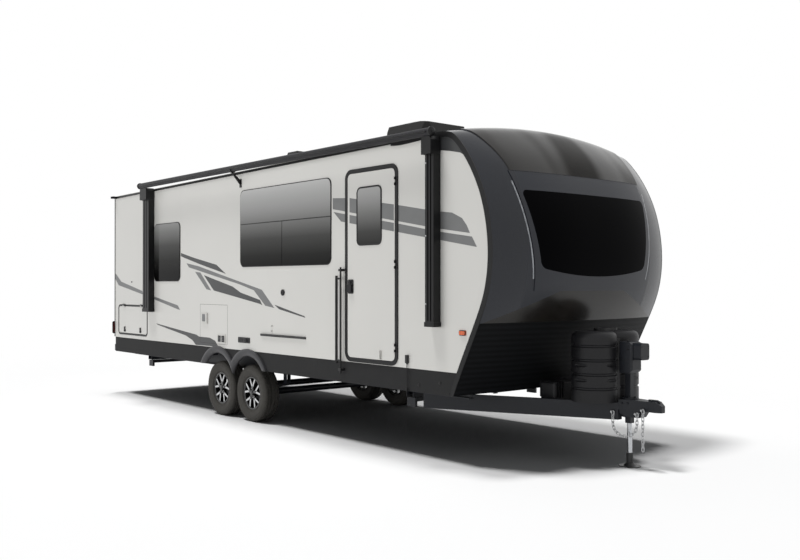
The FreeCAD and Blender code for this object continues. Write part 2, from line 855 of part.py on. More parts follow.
def make_coupler():
    """A tapered coupler, deep at the back and cut up to its nose, with a round socket for the ball."""
    back = d.tongue_front
    half = d.tongue_nose_half
    plan = [(back, -half), (NECK_X, -NECK_HALF), (BALL_X + 20, -NECK_HALF), (NOSE_X, -25)]
    plan += [(x, -y) for x, y in reversed(plan)]
    side = [(back, COUPLER_LOW), (NOSE_X, COUPLER_LOW), (NOSE_X, COUPLER_TOP - 32), (NOSE_X - 50, COUPLER_TOP)]
    side.append((back, COUPLER_TOP))
    upper = common(prism("Z", plan, COUPLER_LOW, COUPLER_TOP), prism("Y", side, -half, half))
    below = [(back, -half + 14), (NECK_X - 25, -NECK_HALF + 6), (NECK_X - 25, NECK_HALF - 6), (back, half - 14)]
    wedge = [(back, WEDGE_LOW + 35), (back + 60, WEDGE_LOW), (NECK_X - 70, WEDGE_LOW), (NECK_X - 25, COUPLER_LOW)]
    wedge += [(NECK_X - 25, COUPLER_LOW + 5), (back, COUPLER_LOW + 5)]
    lower = common(prism("Z", below, WEDGE_LOW, COUPLER_LOW + 5), prism("Y", wedge, -half, half))
    latch = panel("Z", BALL_X - 55, BALL_X + 22, -16, 16, 10, COUPLER_TOP - 1, COUPLER_TOP + 14)
    socket = rod(SOCKET_RADIUS, "Z", COUPLER_LOW - 1, COUPLER_LOW + 45, BALL_X, 0)
    dome = put(add("Part::Sphere", Radius=SOCKET_RADIUS), BALL_X, 0, COUPLER_LOW + 45)
    gap = d.jack_tube + 0.2
    well = block(d.jack_x - gap, d.jack_x + gap, -gap, gap, WEDGE_LOW - 20, COUPLER_TOP + 20)
    node("coupler", cut(fused(upper, lower, latch), socket, dome, well))


SLEEVE_TOP = 120
SLEEVE_RADIUS = 30
# How far the ram goes up before its sleeve meets the tube, and its top at rest.
JACK_LIFT = d.jack_rest - SLEEVE_TOP - 5
RAM_TOP = d.jack_rest + 240


def make_jack():
    """The jack's square tube with its flange and power head, and the ram on its foot plate."""
    x, r = d.jack_x, d.jack_tube
    head_low = d.jack_head_low
    tube = block(x - r, x + r, -r, r, d.jack_rest, head_low + 5)
    flange = rod(70, "Z", COUPLER_TOP, COUPLER_TOP + 10, x, 0)
    bolts = [rod(9, "Z", COUPLER_TOP + 9, COUPLER_TOP + 20, x + u, v) for u, v in ((-52, 0), (26, 45), (26, -45))]
    head = panel("Z", x - 62, x + 75, -75, 75, 18, head_low, head_low + 270)
    side = [
        (x - 62, head_low),
        (x + 40, head_low),
        (x + 75, head_low + 28),
        (x + 75, head_low + 250),
        (x + 50, head_low + 270),
        (x - 62, head_low + 270),
    ]
    head = common(head, prism("Y", side, -75, 75))
    drive = panel("X", -62, 62, head_low + 118, head_low + 262, 25, x + 60, x + 160)
    collar = panel("X", -66, 66, head_low + 112, head_low + 266, 27, x + 74, x + 84)
    body = fused(tube, flange, *bolts, head, drive, collar)
    bore = rod(d.jack_ram + 0.3, "Z", d.jack_rest - 10, RAM_TOP + JACK_LIFT + 20, x, 0)
    node("jack_tube", cut(body, bore))
    ram = rod(d.jack_ram, "Z", 6, RAM_TOP, x, 0)
    sleeve = rod(SLEEVE_RADIUS, "Z", 30, SLEEVE_TOP, x, 0)
    u, v, chamfer = d.jack_sole_x, d.jack_sole_y, 45
    corner = [(x + u, -v + chamfer), (x + u, v - chamfer), (x + u - chamfer, v), (x - u + chamfer, v)]
    corner += [(x - u, v - chamfer), (x - u, -v + chamfer), (x - u + chamfer, -v), (x + u - chamfer, -v)]
    sole = prism("Z", corner, 0, 8)
    boss = put(add("Part::Cone", Radius1=58, Radius2=32, Height=26), x, 0, 6)
    node("jack_leg", fused(ram, sleeve, sole, boss))


def make_axles():
    """Two straight axles, each with backing plates and spindles."""
    half = d.wheel_outer_face - d.tyre_width - 10
    reach = d.wheel_outer_face - 55
    axles = []
    for x in (d.front_axle, d.rear_axle):
        parts = [rod(d.axle_tube, "Y", -half, half, x, d.axle_height)]
        for low, high in ((-half + 8, -half + 30), (half - 30, half - 8)):
            parts.append(rod(128, "Y", low, high, x, d.axle_height))
        parts.append(rod(d.spindle_radius, "Y", -reach, reach, x, d.axle_height))
        axles.append(fused(*parts))
    node("axles", group(*axles))
    node("leaf_springs", both(shaped(spring_set())))


SPRING_LEAF = 8
SPRING_WIDTH = 45
EYE_Z = 470


def spring_set():
    """Two leaf springs end to end, their hangers and the equaliser between them."""
    y = RAIL_Y
    top = d.axle_height + d.axle_tube
    half = d.spring_span / 2
    shapes = []
    for x in (d.front_axle, d.rear_axle):
        for i in range(4):
            reach = half * (1 - 0.2 * i)
            lift = (EYE_Z - top - 35) * (reach / half) * (reach / half)
            z = top + 30 - i * SPRING_LEAF
            bow = Part.Arc(Vector(x - reach, y, z + lift), Vector(x, y, z), Vector(x + reach, y, z + lift))
            strip = bow.toShape().extrude(Vector(0, 0, SPRING_LEAF)).extrude(Vector(0, SPRING_WIDTH, 0))
            shapes.append(strip.translated(Vector(0, -SPRING_WIDTH / 2, 0)))
        for end in (-1, 1):
            eye = Vector(x + end * half, y, EYE_Z)
            side = Vector(0, SPRING_WIDTH / 2, 0)
            shapes.append(bar(20, eye - side, eye + side))
            shapes.append(bar(9, eye - Vector(0, 30, 0), eye + Vector(0, 30, 0)))
        shapes.append(slab(x - 45, x + 45, y - 30, y + 30, top, top + 12))
    middle = (d.front_axle + d.rear_axle) / 2
    for low in (y - SPRING_WIDTH / 2 - 6, y + SPRING_WIDTH / 2):
        for x in (d.front_axle + half, d.rear_axle - half):
            shapes.append(slab(x - 32, x + 32, low, low + 6, EYE_Z - 30, RAIL_BOTTOM))
        shapes.append(slab(middle - 62, middle + 62, low, low + 6, EYE_Z - 25, EYE_Z + 45))
        shapes.append(slab(middle - 30, middle + 30, low, low + 6, EYE_Z, RAIL_BOTTOM))
    shapes.append(bar(12, Vector(middle, y - 30, EYE_Z + 30), Vector(middle, y + 30, EYE_Z + 30)))
    return one(shapes)


# Where the tyre's beads sit in from its side walls, and the rim's flanges inside them.
BEAD_INSET = 30
BEAD_PLAY = 0.3
SPOKES = 5
SPOKE_SPREAD = 18
SPOKE_RIM_HALF = 4
DISH = 28


def tyre_body():
    """A tyre about the origin, its outer face at +Y."""
    r, half, rim = d.tyre_radius, d.tyre_width / 2, d.rim_radius
    outer = [
        (half - BEAD_INSET, rim - 12),
        (half - BEAD_INSET, rim + 4),
        (half - 12, rim + 12),
        (half, rim + 70),
        (half - 6, r - 30),
        (half - 30, r - 2),
    ]
    points = outer + [(half - 62, r)] + [(-half + 62, r)] + [(-w, v) for w, v in reversed(outer)]
    return turned("X", points, "H")


def rim_body():
    """An alloy rim about the origin with five split spokes, its outer face at +Y."""
    half = d.tyre_width / 2
    seat = d.rim_radius - 12 - BEAD_PLAY
    low = seat - d.rim_wall
    edge = half - BEAD_INSET + BEAD_PLAY
    barrel = [(edge, seat), (edge, seat + 11), (edge + 7, seat + 11), (edge + 8, low + 7), (edge - 4, low)]
    outline = [(-edge, seat), (edge, seat)] + barrel[1:]
    outline += [(-w, v) for w, v in reversed(barrel[1:])]
    body = turned("X", outline, "H")
    reach = low + 4

    def tip(angle):
        turn = math.radians(angle)
        return reach * math.sin(turn), reach * math.cos(turn)

    hub = d.hub_radius
    fork = [(14, hub - 12), (19, hub + 30), tip(SPOKE_SPREAD + SPOKE_RIM_HALF), tip(SPOKE_SPREAD - SPOKE_RIM_HALF)]
    points = fork + [(0, hub + 56)] + [(-u, v) for u, v in reversed(fork)]
    drawing = sketch(body, "Y", half - DISH)
    draw_outline(drawing, points)
    spoke = pad(body, drawing, d.spoke_depth)
    pattern = body.newObject("PartDesign::PolarPattern", "Spokes")
    pattern.Originals = [spoke]
    pattern.Axis = (drawing, ["N_Axis"])
    pattern.Angle = 360
    pattern.Occurrences = SPOKES
    body.Tip = pattern
    for radius, start, end in ((hub, half - DISH - 60, half - DISH - 2), (30, half - DISH - 20, half - DISH + 10)):
        boss = body.newObject("PartDesign::AdditiveCylinder", "Hub")
        bind(boss, "Radius", radius)
        bind(boss, "Height", end - start)
        put(boss, 0, start, 0, TURNS["Y"])
    bore = body.newObject("PartDesign::SubtractiveCylinder", "Bore")
    bind(bore, "Radius", d.spindle_radius + d.running_clearance)
    bind(bore, "Height", d.tyre_width)
    put(bore, 0, half - 50 - d.tyre_width, 0, TURNS["Y"])
    return body


def make_wheels():
    middle = d.wheel_outer_face - d.tyre_width / 2
    for place, axle in (("front", d.front_axle), ("rear", d.rear_axle)):
        for side, y, angle in (("left", middle, 0), ("right", -middle, 180)):
            turn = Rotation(Vector(0, 0, 1), angle)
            for kind, make in (("tyre", tyre_body), ("rim", rim_body)):
                node(f"{kind}_{place}_{side}", put(make(), axle, y, d.axle_height, turn))


PIN = 3.5
KNUCKLE = 7
KNUCKLE_HALF = 14
HINGE_HALF = 40
HINGE_STAND = 10
HINGE_STEP = 2
HINGE_REACH = 13


def hinge(pin_axis, x, y, z, leaf, moving_leaf):
    """A butt hinge outside a wall, its pin along X or Z: the fixed and the moving half."""

    def plate(side0, side1, out0, out1, low, high):
        if pin_axis == "Z":
            return block(x + side0, x + side1, y + out0, y + out1, z + low, z + high)
        return block(x + low, x + high, y + out0, y + out1, z + side0, z + side1)

    def barrel(radius, low, high):
        if pin_axis == "Z":
            return rod(radius, "Z", z + low, z + high, x, y)
        return rod(radius, "X", x + low, x + high, y, z)

    half, seat = HINGE_HALF, HINGE_STAND
    fixed = [plate(KNUCKLE + 1, leaf, seat - 3, seat, -half, half), barrel(PIN, -half, half)]
    for low, high in ((-half, -KNUCKLE_HALF), (KNUCKLE_HALF, half)):
        fixed.append(barrel(KNUCKLE, low, high))
        fixed.append(plate(0, KNUCKLE + 2, KNUCKLE - 3, seat, low, high))
    inner = KNUCKLE_HALF - 0.3
    moving = [
        plate(-moving_leaf, -KNUCKLE - 3, KNUCKLE - 3, seat - 1, -half, half),
        plate(-moving_leaf, -HINGE_REACH - 1, seat - 2, seat + HINGE_STEP, -half, half),
        plate(-KNUCKLE - 4, 0, KNUCKLE - 3, seat - 1, -inner, inner),
        barrel(KNUCKLE, -inner, inner),
    ]
    return fused(*fixed), cut(fused(*moving), barrel(PIN + d.running_clearance, -half, half))


DOOR_AXIS = (d.door_front - d.door_trim, -HALF - 2 * HINGE_STAND)
# The door's window, as margins from the door frame's rear, front and (twice) top edges.
DOOR_WINDOW = (193, 233, 759, 184)
DOOR_GLASS_CORNER = 60
DOOR_GLASS_BAND = 16
LATCH_Z = 1500


def make_door():
    """The entry door with its frame, window and latch, hinged at its front edge."""
    x0, x1, z0, z1 = d.door_rear, d.door_front, d.door_bottom, d.door_top
    lap = d.door_trim
    rim = 8
    outer = panel("Y", x0, x1, z0, z1, d.door_corner, -HALF - 10, -HALF, lap + rim)
    liner = panel("Y", *DOOR_OPENING, d.door_corner - lap, -HALF - 1, -WALL_IN, rim)
    hinges = [hinge("Z", *DOOR_AXIS, z, 29, 37) for z in (z0 + 170, (z0 + z1) / 2, z1 - 170)]
    node("door_frame", fused(outer, liner, *[fixed for fixed, _ in hinges]))
    gap = rim + d.door_gap
    ox0, ox1, oz0, oz1 = DOOR_OPENING
    y_out = -HALF - rim
    y_in = y_out + d.door_thickness
    leaf = panel("Y", ox0 + gap, ox1 - gap, oz0 + gap, oz1 - gap, d.door_corner - lap - gap, y_out, y_in)
    glass = (x0 + DOOR_WINDOW[0], x1 - DOOR_WINDOW[1], z1 - DOOR_WINDOW[2], z1 - DOOR_WINDOW[3])
    leaf = cut(leaf, panel("Y", *glass, DOOR_GLASS_CORNER, y_out - 5, y_in + 5))
    keeper = panel("Z", *HOLDBACK_ON_DOOR, y_out - 24, y_out + 1, 5, z0 + 54, z0 + 136)
    node("entry_door", fused(leaf, keeper, *[moving for _, moving in hinges]))
    band = DOOR_GLASS_BAND
    node("door_window_frame", panel("Y", *glass, DOOR_GLASS_CORNER, y_out - 6, y_in, band))
    inner = (glass[0] + band, glass[1] - band, glass[2] + band, glass[3] - band)
    node("door_pane", panel("Y", *inner, DOOR_GLASS_CORNER - band, y_out - 4, y_out - 4 + d.glass_thickness))
    lx = ox0 + gap + 15
    plate = panel("Y", lx, lx + 80, LATCH_Z, LATCH_Z + 140, 14, y_out - 10, y_out)
    paddle = panel("Y", lx + 10, lx + 70, LATCH_Z + 16, LATCH_Z + 90, 10, y_out - 26, y_out - 9)
    lock = rod(14, "Y", y_out - 18, y_out - 9, lx + 40, LATCH_Z + 114)
    node("door_latch", fused(plate, paddle, lock))


# The door holder's two halves, as X spans on the door and on the wall ahead of it.
HOLDBACK_ON_DOOR = (d.door_front - 268, d.door_front - 242)
HOLDBACK_ON_WALL = (d.door_front + 126, d.door_front + 152)
HATCH_TRIM = 3
HATCH_RING = 22
HATCH_GAP = 5
THUMB_X = (0.22, 0.78)


def make_hatches():
    """Storage hatches in the side walls at the rear, hinged along the top, and the rings round them."""
    x0, x1, z0, z1 = HATCH
    face = -HALF - HATCH_TRIM
    gap = HATCH_GAP
    skin_out = face + HINGE_STEP
    hinges = [hinge("X", x, face - HINGE_STAND, z1 - gap + HINGE_REACH, 22, 34) for x in (x0 + 170, x1 - 170)]
    skin = panel("Y", x0 + gap, x1 - gap, z0 + gap, z1 - gap, HATCH_CORNER - gap, skin_out, -WALL_IN)
    thumbs = []
    for share in THUMB_X:
        x = x0 + (x1 - x0) * share
        thumbs.append(panel("Y", x - 24, x + 24, z0 + 22, z0 + 56, 12, skin_out - 8, skin_out + 1))
        thumbs.append(rod(11, "Y", skin_out - 15, skin_out - 7, x, z0 + 39))
    hatch = fused(skin, *thumbs, *[moving for _, moving in hinges])
    node("hatch_right", hatch)
    node("hatch_left", mirror(hatch))
    ring = HATCH_RING
    frame = panel("Y", x0 - ring, x1 + ring, z0 - ring, z1 + ring, HATCH_CORNER + ring, face, -HALF, ring)
    node("hatch_frames", both(fused(frame, *[fixed for fixed, _ in hinges])))


# Each arm as X spans from its own end of the awning.
REAR_ARM = (d.awning_rear + 35, d.awning_rear + 215)
FRONT_ARM = (d.awning_front - 130, d.awning_front - 20)
HEAD_LAP = 8
ARM_GROOVE = 14
CRADLE_X = -600
CRADLE_WALL = 9


def make_awning():
    """The rolled awning, the two arms that carry it and a cradle under its middle."""
    out = HALF + d.awning_out
    z = d.awning_height
    tube = d.awning_tube
    end = 20
    node("awning_roller", rod(tube, "X", d.awning_rear + end, d.awning_front - end, -out, z))
    front = -HALF - d.arm_depth
    back = -HALF - d.trim_height - d.seam_gap
    arm_top = z - d.arm_drop
    pieces = []
    for x0, x1 in (REAR_ARM, FRONT_ARM):
        arm = block(x0, x1, front, -HALF, d.arm_bottom, arm_top)
        grooves = []
        for share in (1 / 3, 2 / 3):
            x = x0 + (x1 - x0) * share - ARM_GROOVE / 2
            grooves.append(block(x, x + ARM_GROOVE, front - 1, front + 24, d.arm_bottom + 45, arm_top + 1))
        foot = block(x0 - HEAD_LAP, x1 + HEAD_LAP, front - 6, -HALF, d.arm_bottom - 8, d.arm_bottom + 35)
        low, high = arm_top, z - tube - 0.3
        shape = [
            (x0 - HEAD_LAP, low),
            (x1 + HEAD_LAP, low),
            (x1 + HEAD_LAP, high - 30),
            (x1 - HEAD_LAP, high),
            (x0 + HEAD_LAP, high),
            (x0 - HEAD_LAP, high - 30),
        ]
        head = prism("Y", shape, -out - 12, back)
        pieces.append(fused(cut(arm, *grooves), foot, head))
    half = 22
    ring = tube + 0.3 + CRADLE_WALL
    saddle = rod(ring, "X", CRADLE_X - half, CRADLE_X + half, -out, z)
    saddle = cut(saddle, rod(tube + 0.3, "X", CRADLE_X - half - 1, CRADLE_X + half + 1, -out, z))
    saddle = common(saddle, block(CRADLE_X - half, CRADLE_X + half, -out - FAR, -out + FAR, 0, z - 8))
    prop = [(-HALF - 1, z - 190), (-HALF - 1, z - 130), (-out + 8, z - tube - 3), (-out - 14, z - tube - 3)]
    brace = prism("X", prop, CRADLE_X - 8, CRADLE_X + 8)
    foot = block(CRADLE_X - half, CRADLE_X + half, -HALF - 6, -HALF, z - 210, z - 110)
    node("awning_arms", group(*pieces, fused(saddle, brace, foot)))


HANDLE_X = 1405
HANDLE_STAND = 38
HANDLE_ROD = 9
GRIP_BACK = 70


def make_handle():
    """A folding grab handle that turns on its upright rod."""
    y = -HALF - HANDLE_STAND
    grip = HANDLE_X - GRIP_BACK
    parts = [rod(HANDLE_ROD, "Z", 700, 1765, HANDLE_X, y), rod(14, "Z", 800, 1680, grip, y)]
    parts += [rod(HANDLE_ROD, "X", grip, HANDLE_X, y, z) for z in (830, 1650)]
    node("grab_handle", fused(*parts))


def handle_brackets():
    y = -HALF - HANDLE_STAND
    ears = []
    for z, base in ((740, SKIRT_OUT), (1735, HALF)):
        ear = block(HANDLE_X - 18, HANDLE_X + 18, y - 16, -base, z - 12, z + 12)
        ears.append(cut(ear, rod(HANDLE_ROD + d.running_clearance, "Z", z - 30, z + 30, HANDLE_X, y)))
    return ears


LEG_PIVOT_Y = 250
LEG_LENGTH = 620
LEG_Z = 472
LEG_PIN = 8
STABILISER_X = {"front": 2050, "rear": -3700}


def make_stabilisers():
    """A channel across the frame at each end, with two legs that swing down from it."""
    beams = []
    for x in STABILISER_X.values():
        top = RAIL_BOTTOM
        channel = block(x - 50, x + 50, -RAIL_Y, RAIL_Y, top - 60, top)
        parts = [cut(channel, block(x - 44, x + 44, -RAIL_Y - 1, RAIL_Y + 1, top - 61, top - 6))]
        for y in (-LEG_PIVOT_Y, LEG_PIVOT_Y):
            for xa in (x - 50, x + 44):
                parts.append(block(xa, xa + 6, y - 30, y + 30, LEG_Z - 25, top - 50))
            parts.append(rod(LEG_PIN, "X", x - 50, x + 50, y, LEG_Z))
        beams.append(fused(*parts))
    node("stabiliser_beams", group(*beams))
    tip = LEG_PIVOT_Y + LEG_LENGTH
    for place, x in STABILISER_X.items():
        tube = block(x - 30, x + 30, LEG_PIVOT_Y - 25, tip, LEG_Z - 20, LEG_Z + 20)
        tube = cut(tube, block(x - 24, x + 24, LEG_PIVOT_Y + 40, tip + 1, LEG_Z - 21, LEG_Z + 14))
        leg = fused(tube, block(x - 60, x + 60, tip - 14, tip + 14, LEG_Z - 65, LEG_Z + 22))
        leg = cut(leg, rod(LEG_PIN + d.running_clearance, "X", x - 60, x + 60, LEG_PIVOT_Y, LEG_Z))
        node(f"stabiliser_{place}_left", leg)
        node(f"stabiliser_{place}_right", mirror(leg))


LOUVRES = 5
VENT_PIN = 3
VENT_KNUCKLE = 6


def make_roof_units(roof):
    """The air conditioner, and the roof vent's collar and hinged lid."""
    x0 = d.aircon_rear
    x1 = x0 + d.aircon_length
    half = d.aircon_half
    low = crown_at(x0) - 40
    top = crown_at(x0) + d.aircon_height
    side = [
        (x0 + 10, low),
        (x1, low),
        (x1, low + 95),
        (x1 - 70, top - 45),
        (x0 + 330, top),
        (x0 + 35, top - 30),
        (x0, low + 130),
    ]
    front = [(-half, low), (half, low), (half, low + 110), (half - 55, top - 30), (half - 150, top)]
    front += [(-half + 150, top), (-half + 55, top - 30), (-half, low + 110)]
    plan = [(x0, -half + 60), (x0 + 60, -half), (x1 - 190, -half), (x1, -half + 120)]
    plan += [(x, -y) for x, y in reversed(plan)]
    unit = common(prism("Y", side, -half, half), prism("X", front, x0, x1), prism("Z", plan, low, top))
    slots = []
    for i in range(LOUVRES):
        z = low + 62 + i * 24
        slots.append(block(x0 - 1, x0 + 48, -half + 75, half - 75, z, z + 11))
    node("air_conditioner", cut(unit, group(*slots), roof))
    x, h = d.vent_x, d.vent_half
    low = crown_at(x) - 40
    lid_z = crown_at(x) + 45
    inner = h - d.vent_wall
    collar = cut(block(x - h, x + h, -h, h, low, lid_z), block(x - inner, x + inner, -inner, inner, low - 1, lid_z + 1))
    reach = h + d.vent_lap
    hinge_x = x - reach - 12
    ears = []
    for y0, y1 in ((-108, -93), (93, 108)):
        ears.append(block(hinge_x, x - h + 1, y0, y1, lid_z - 12, lid_z - 0.3))
        ears.append(rod(VENT_KNUCKLE, "Y", y0, y1, hinge_x, lid_z))
    pin = rod(VENT_PIN, "Y", -100, 100, hinge_x, lid_z)
    node("vent_collar", fused(cut(collar, roof), *ears, pin))
    lid_low = lid_z + 0.3
    lid_top = lid_low + d.vent_lid_height
    slope = 60
    side = [
        (x - reach, lid_low),
        (x + reach, lid_low),
        (x + reach, lid_low + 30),
        (x + reach - slope, lid_top),
        (x - reach + slope, lid_top),
        (x - reach, lid_low + 30),
    ]
    across = [(u - x, v) for u, v in side]
    hood = common(prism("Y", side, -reach, reach), prism("X", across, x - reach, x + reach))
    sleeve = rod(VENT_KNUCKLE, "Y", -92, 92, hinge_x, lid_z)
    tongue = block(hinge_x, x - reach + 1, -92, 92, lid_low, lid_low + 5)
    bore = rod(VENT_PIN + d.running_clearance, "Y", -FAR, FAR, hinge_x, lid_z)
    node("vent_lid", cut(fused(hood, sleeve, tongue), bore))


BUMPER_CAP = 4


def make_rear():
    """A square tube bumper with end caps, and a tail lamp in a housing at each corner."""
    x, z, size, half = d.body_rear, d.bumper_bottom, d.bumper_size, d.bumper_half
    back = x - size + 10
    tube = panel("Y", back, x, z, z + size, 9, -half + BUMPER_CAP, half - BUMPER_CAP)
    cap = panel("Y", back + 1, x - 1, z + 1, z + size - 1, 8, half - BUMPER_CAP, half)
    node("bumper", fused(tube, cap, mirror(cap)))
    housing = panel("X", HALF - 90, HALF + 30, 870, 1050, 22, x - 10, x)
    lens = panel("X", HALF - 78, HALF + 18, 884, 1036, 16, x - 24, x - 9)
    node("tail_lamps", both(fused(housing, lens)))


def make_fittings():
    """Inlet covers, a rail, small marks and the handle's brackets on the door side, and marker lamps."""
    y = -HALF
    box = panel("Y", -1540, -1385, 1100, 1240, 14, y - 14, y)
    flap = panel("Y", -1528, -1397, 1124, 1230, 10, y - 19, y - 13)
    inlets = [fused(box, flap)]
    for x0, x1, z0, z1 in ((-1136, -942, 880, 990), (-650, -390, 910, 975)):
        plate = panel("Y", x0, x1, z0, z1, 10, y - 7, y)
        inlets.append(fused(plate, panel("Y", x0 + 14, x1 - 14, z0 + 12, z1 - 12, 7, y - 12, y - 6)))
    rail = block(-142, 742, y - 14, y, 1010, 1030)
    lip = block(-142, 742, y - 18, y - 13, 1016, 1036)
    speaker = rod(34, "Y", y - 9, y, 300, 1502)
    marks = [rod(12, "Y", y - 8, y, 77, z) for z in (1073, 1128)]
    catch = rod(10, "Y", y - 8, y, -3603, 1624)
    keeper = panel("Z", *HOLDBACK_ON_WALL, y - 30, y, 5, d.door_bottom + 41, d.door_bottom + 115)
    pieces = inlets + [fused(rail, lip), speaker, catch, keeper] + marks + handle_brackets()
    node("wall_fittings", group(*pieces))
    base = panel("Y", 3072, 3153, 1152, 1198, 12, HALF, HALF + 6)
    lamp = panel("Y", 3078, 3147, 1158, 1192, 9, HALF + 5, HALF + 16)
    node("side_lamps", both(fused(base, lamp)))


RAIL_DROP = 34


def make_gutters():
    """Gutter rails along the roof's edges, each with a spout at its rear end."""
    x0, x1 = d.body_rear + 5, d.roof_seam - d.seam_gap
    stand = d.trim_height
    low, high = roof_edge_at(x0) - RAIL_DROP, roof_edge_at(x1) - RAIL_DROP
    rail = prism("Y", [(x0, low), (x1, high), (x1, high + 26), (x0, low + 26)], HALF, HALF + stand)
    z = d.roof_edge_rear
    spout = block(x0, x0 + 60, HALF, HALF + 66, z - RAIL_DROP, z - 2)
    spout = cut(spout, block(x0 + 5, x0 + 55, HALF + stand + 3, HALF + 70, z - RAIL_DROP + 5, z))
    node("gutter_spouts", both(fused(rail, spout)))


LINK_WIRE = 4
LINK_INNER = 33
LINK_GAP = 15
LINK_PLAY = 0.8
LINK_BEVEL = 1.9
CHAIN_BOLT = 4


def chain_link():
    """One link about the origin, long way along X, flat in XY, bevelled inside."""

    def loop(grow):
        end, flat = LINK_INNER / 2 + grow, LINK_WIRE + 0.3 + 0.6 * grow
        side, bend = LINK_GAP / 2 + grow, LINK_INNER / 2 - 4 + 0.4 * grow
        points = [(end, -flat), (end, flat), (bend, side), (-bend, side)]
        points += [(-x, -y) for x, y in points]
        wire = [Vector(x, y, -LINK_WIRE) for x, y in points]
        return Part.Face(Part.makePolygon(wire + wire[:1]))

    ring = loop(2 * LINK_WIRE).cut(loop(0)).extrude(Vector(0, 0, 2 * LINK_WIRE))
    reach = LINK_GAP / 2 + 0.1
    inner = [e for e in ring.Edges if e.BoundBox.ZLength < 0.1 and e.BoundBox.YMax < reach and e.BoundBox.YMin > -reach]
    return ring.makeChamfer(LINK_BEVEL, [e for e in inner if abs(e.CenterOfMass.x) < LINK_INNER / 2 + 0.1])


def placed(shape, at, turn):
    moved = shape.copy()
    moved.Placement = Placement(at, turn)
    return moved


def point_beyond(path, start, leg, reach):
    """The next point on the path at a straight distance from the start, and its stretch."""
    while leg < len(path) - 1:
        if (path[leg + 1] - start).Length >= reach:
            low, high = path[leg], path[leg + 1]
            if (low - start).Length >= reach:
                low = start
            for _ in range(30):
                middle = (low + high) * 0.5
                if (middle - start).Length < reach:
                    low = middle
                else:
                    high = middle
            return high, leg
        leg += 1
    return None, leg


def hang_chain(path, first_turn):
    """An odd number of links along a path, each turned a quarter from the last, and where they end."""
    link = chain_link()
    links = []
    joints = [path[0]]
    leg = 0
    while True:
        centre, leg = point_beyond(path, joints[-1], leg, LINK_INNER - LINK_PLAY)
        if centre is None:
            break
        heading = (centre - joints[-1]).normalize()
        spin = Rotation(Vector(1, 0, 0), first_turn + 90 * len(links))
        facing = Rotation(Vector(1, 0, 0), heading).multiply(spin)
        links.append(placed(link, (centre + joints[-1]) * 0.5, facing))
        joints.append(centre)
    if len(links) % 2 == 0:
        links.pop()
        joints.pop()
    return links, joints[-1]


def chain_loop(start, end, low):
    """Points down one leg, round a half circle at the bottom and up the other leg."""
    radius = (end.x - start.x) / 2
    points = [start]
    for angle in range(0, 181, 10):
        turn = math.radians(angle)
        share = (1 - math.cos(turn)) / 2
        y = start.y + (end.y - start.y) * share
        points.append(Vector(start.x + 2 * radius * share, y, low + radius * (1 - math.sin(turn))))
    return points + [end]


def make_chains():
    """Two safety chains from the rails' front ends: one looped across, one hanging free."""
    nose = d.tongue_front
    start = Vector(nose - 30, -134, TONGUE_BOTTOM + 76)
    end = Vector(nose + 190, -92, RAIL_BOTTOM - 42)
    hang = Vector(nose + 235, -72, RAIL_BOTTOM - 42)
    links, last = hang_chain(chain_loop(start, end, RAIL_BOTTOM - 285), 90)
    free, _ = hang_chain([hang, Vector(hang.x, hang.y, RAIL_BOTTOM - 420)], 90)
    links += free
    outwards = Vector(0, -1, 0)
    for at, face in ((start, tongue_outer), (last, coupler_half), (hang, coupler_half)):
        inner = face(at.x - CHAIN_BOLT) + 0.3
        eye = Vector(at.x, -inner, at.z + LINK_PLAY / 2 - CHAIN_BOLT - 0.3)
        bolt = bar(CHAIN_BOLT, eye, eye + outwards * (-at.y + 16 - inner))
        nut = eye + outwards * (-at.y + 10 - inner)
        links.append(bolt.fuse(bar(9, nut, nut + outwards * 6)))
    node("safety_chains", shaped(Part.makeCompound(links)))


roof_blank = make_shell()
make_windows()
make_skirts()
make_chassis()
make_tongue()
make_battery_box()
make_gas_cover()
make_coupler()
make_jack()
make_axles()
make_wheels()
make_door()
make_hatches()
make_awning()
make_handle()
make_stabilisers()
make_roof_units(roof_blank)
make_rear()
make_fittings()
make_gutters()
make_chains()
doc.recompute()

for part in doc.Objects:
    if "Invalid" in part.State or "Error" in part.State:
        raise RuntimeError(f"{part.Name} ({part.Label}) failed: {part.State}")
for part in NODES:
    if part.Shape.isNull() or not part.Shape.isValid() or not part.Shape.Solids:
        raise RuntimeError(f"{part.Label} has no valid shape")
    part.Shape.exportStep(f"parts/{part.Label}.step")
    print(part.Label, len(part.Shape.Solids), part.Shape.BoundBox)
print(len(NODES), "nodes")
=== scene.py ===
"""Looks of a travel caravan: finishes, graphics, tyre tread, fasteners, lamps, studio and camera."""
import math

import bmesh
import bpy
from mathutils import Matrix, Vector
from mathutils.bvhtree import BVHTree


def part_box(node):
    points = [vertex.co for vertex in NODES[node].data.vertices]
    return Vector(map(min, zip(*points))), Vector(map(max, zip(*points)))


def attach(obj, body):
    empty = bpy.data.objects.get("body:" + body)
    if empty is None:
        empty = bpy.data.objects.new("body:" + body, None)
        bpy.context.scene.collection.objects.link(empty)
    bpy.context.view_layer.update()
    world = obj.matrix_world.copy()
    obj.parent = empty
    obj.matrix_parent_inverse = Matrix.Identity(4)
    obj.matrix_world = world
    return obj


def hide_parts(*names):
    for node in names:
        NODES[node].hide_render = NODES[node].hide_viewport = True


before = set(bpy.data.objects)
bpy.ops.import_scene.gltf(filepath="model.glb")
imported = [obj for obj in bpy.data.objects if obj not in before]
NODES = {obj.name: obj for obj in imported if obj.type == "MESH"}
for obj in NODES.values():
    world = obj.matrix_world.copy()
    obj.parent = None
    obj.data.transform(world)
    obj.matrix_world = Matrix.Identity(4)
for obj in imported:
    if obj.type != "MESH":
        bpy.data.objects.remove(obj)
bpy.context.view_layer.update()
MM = 0.001

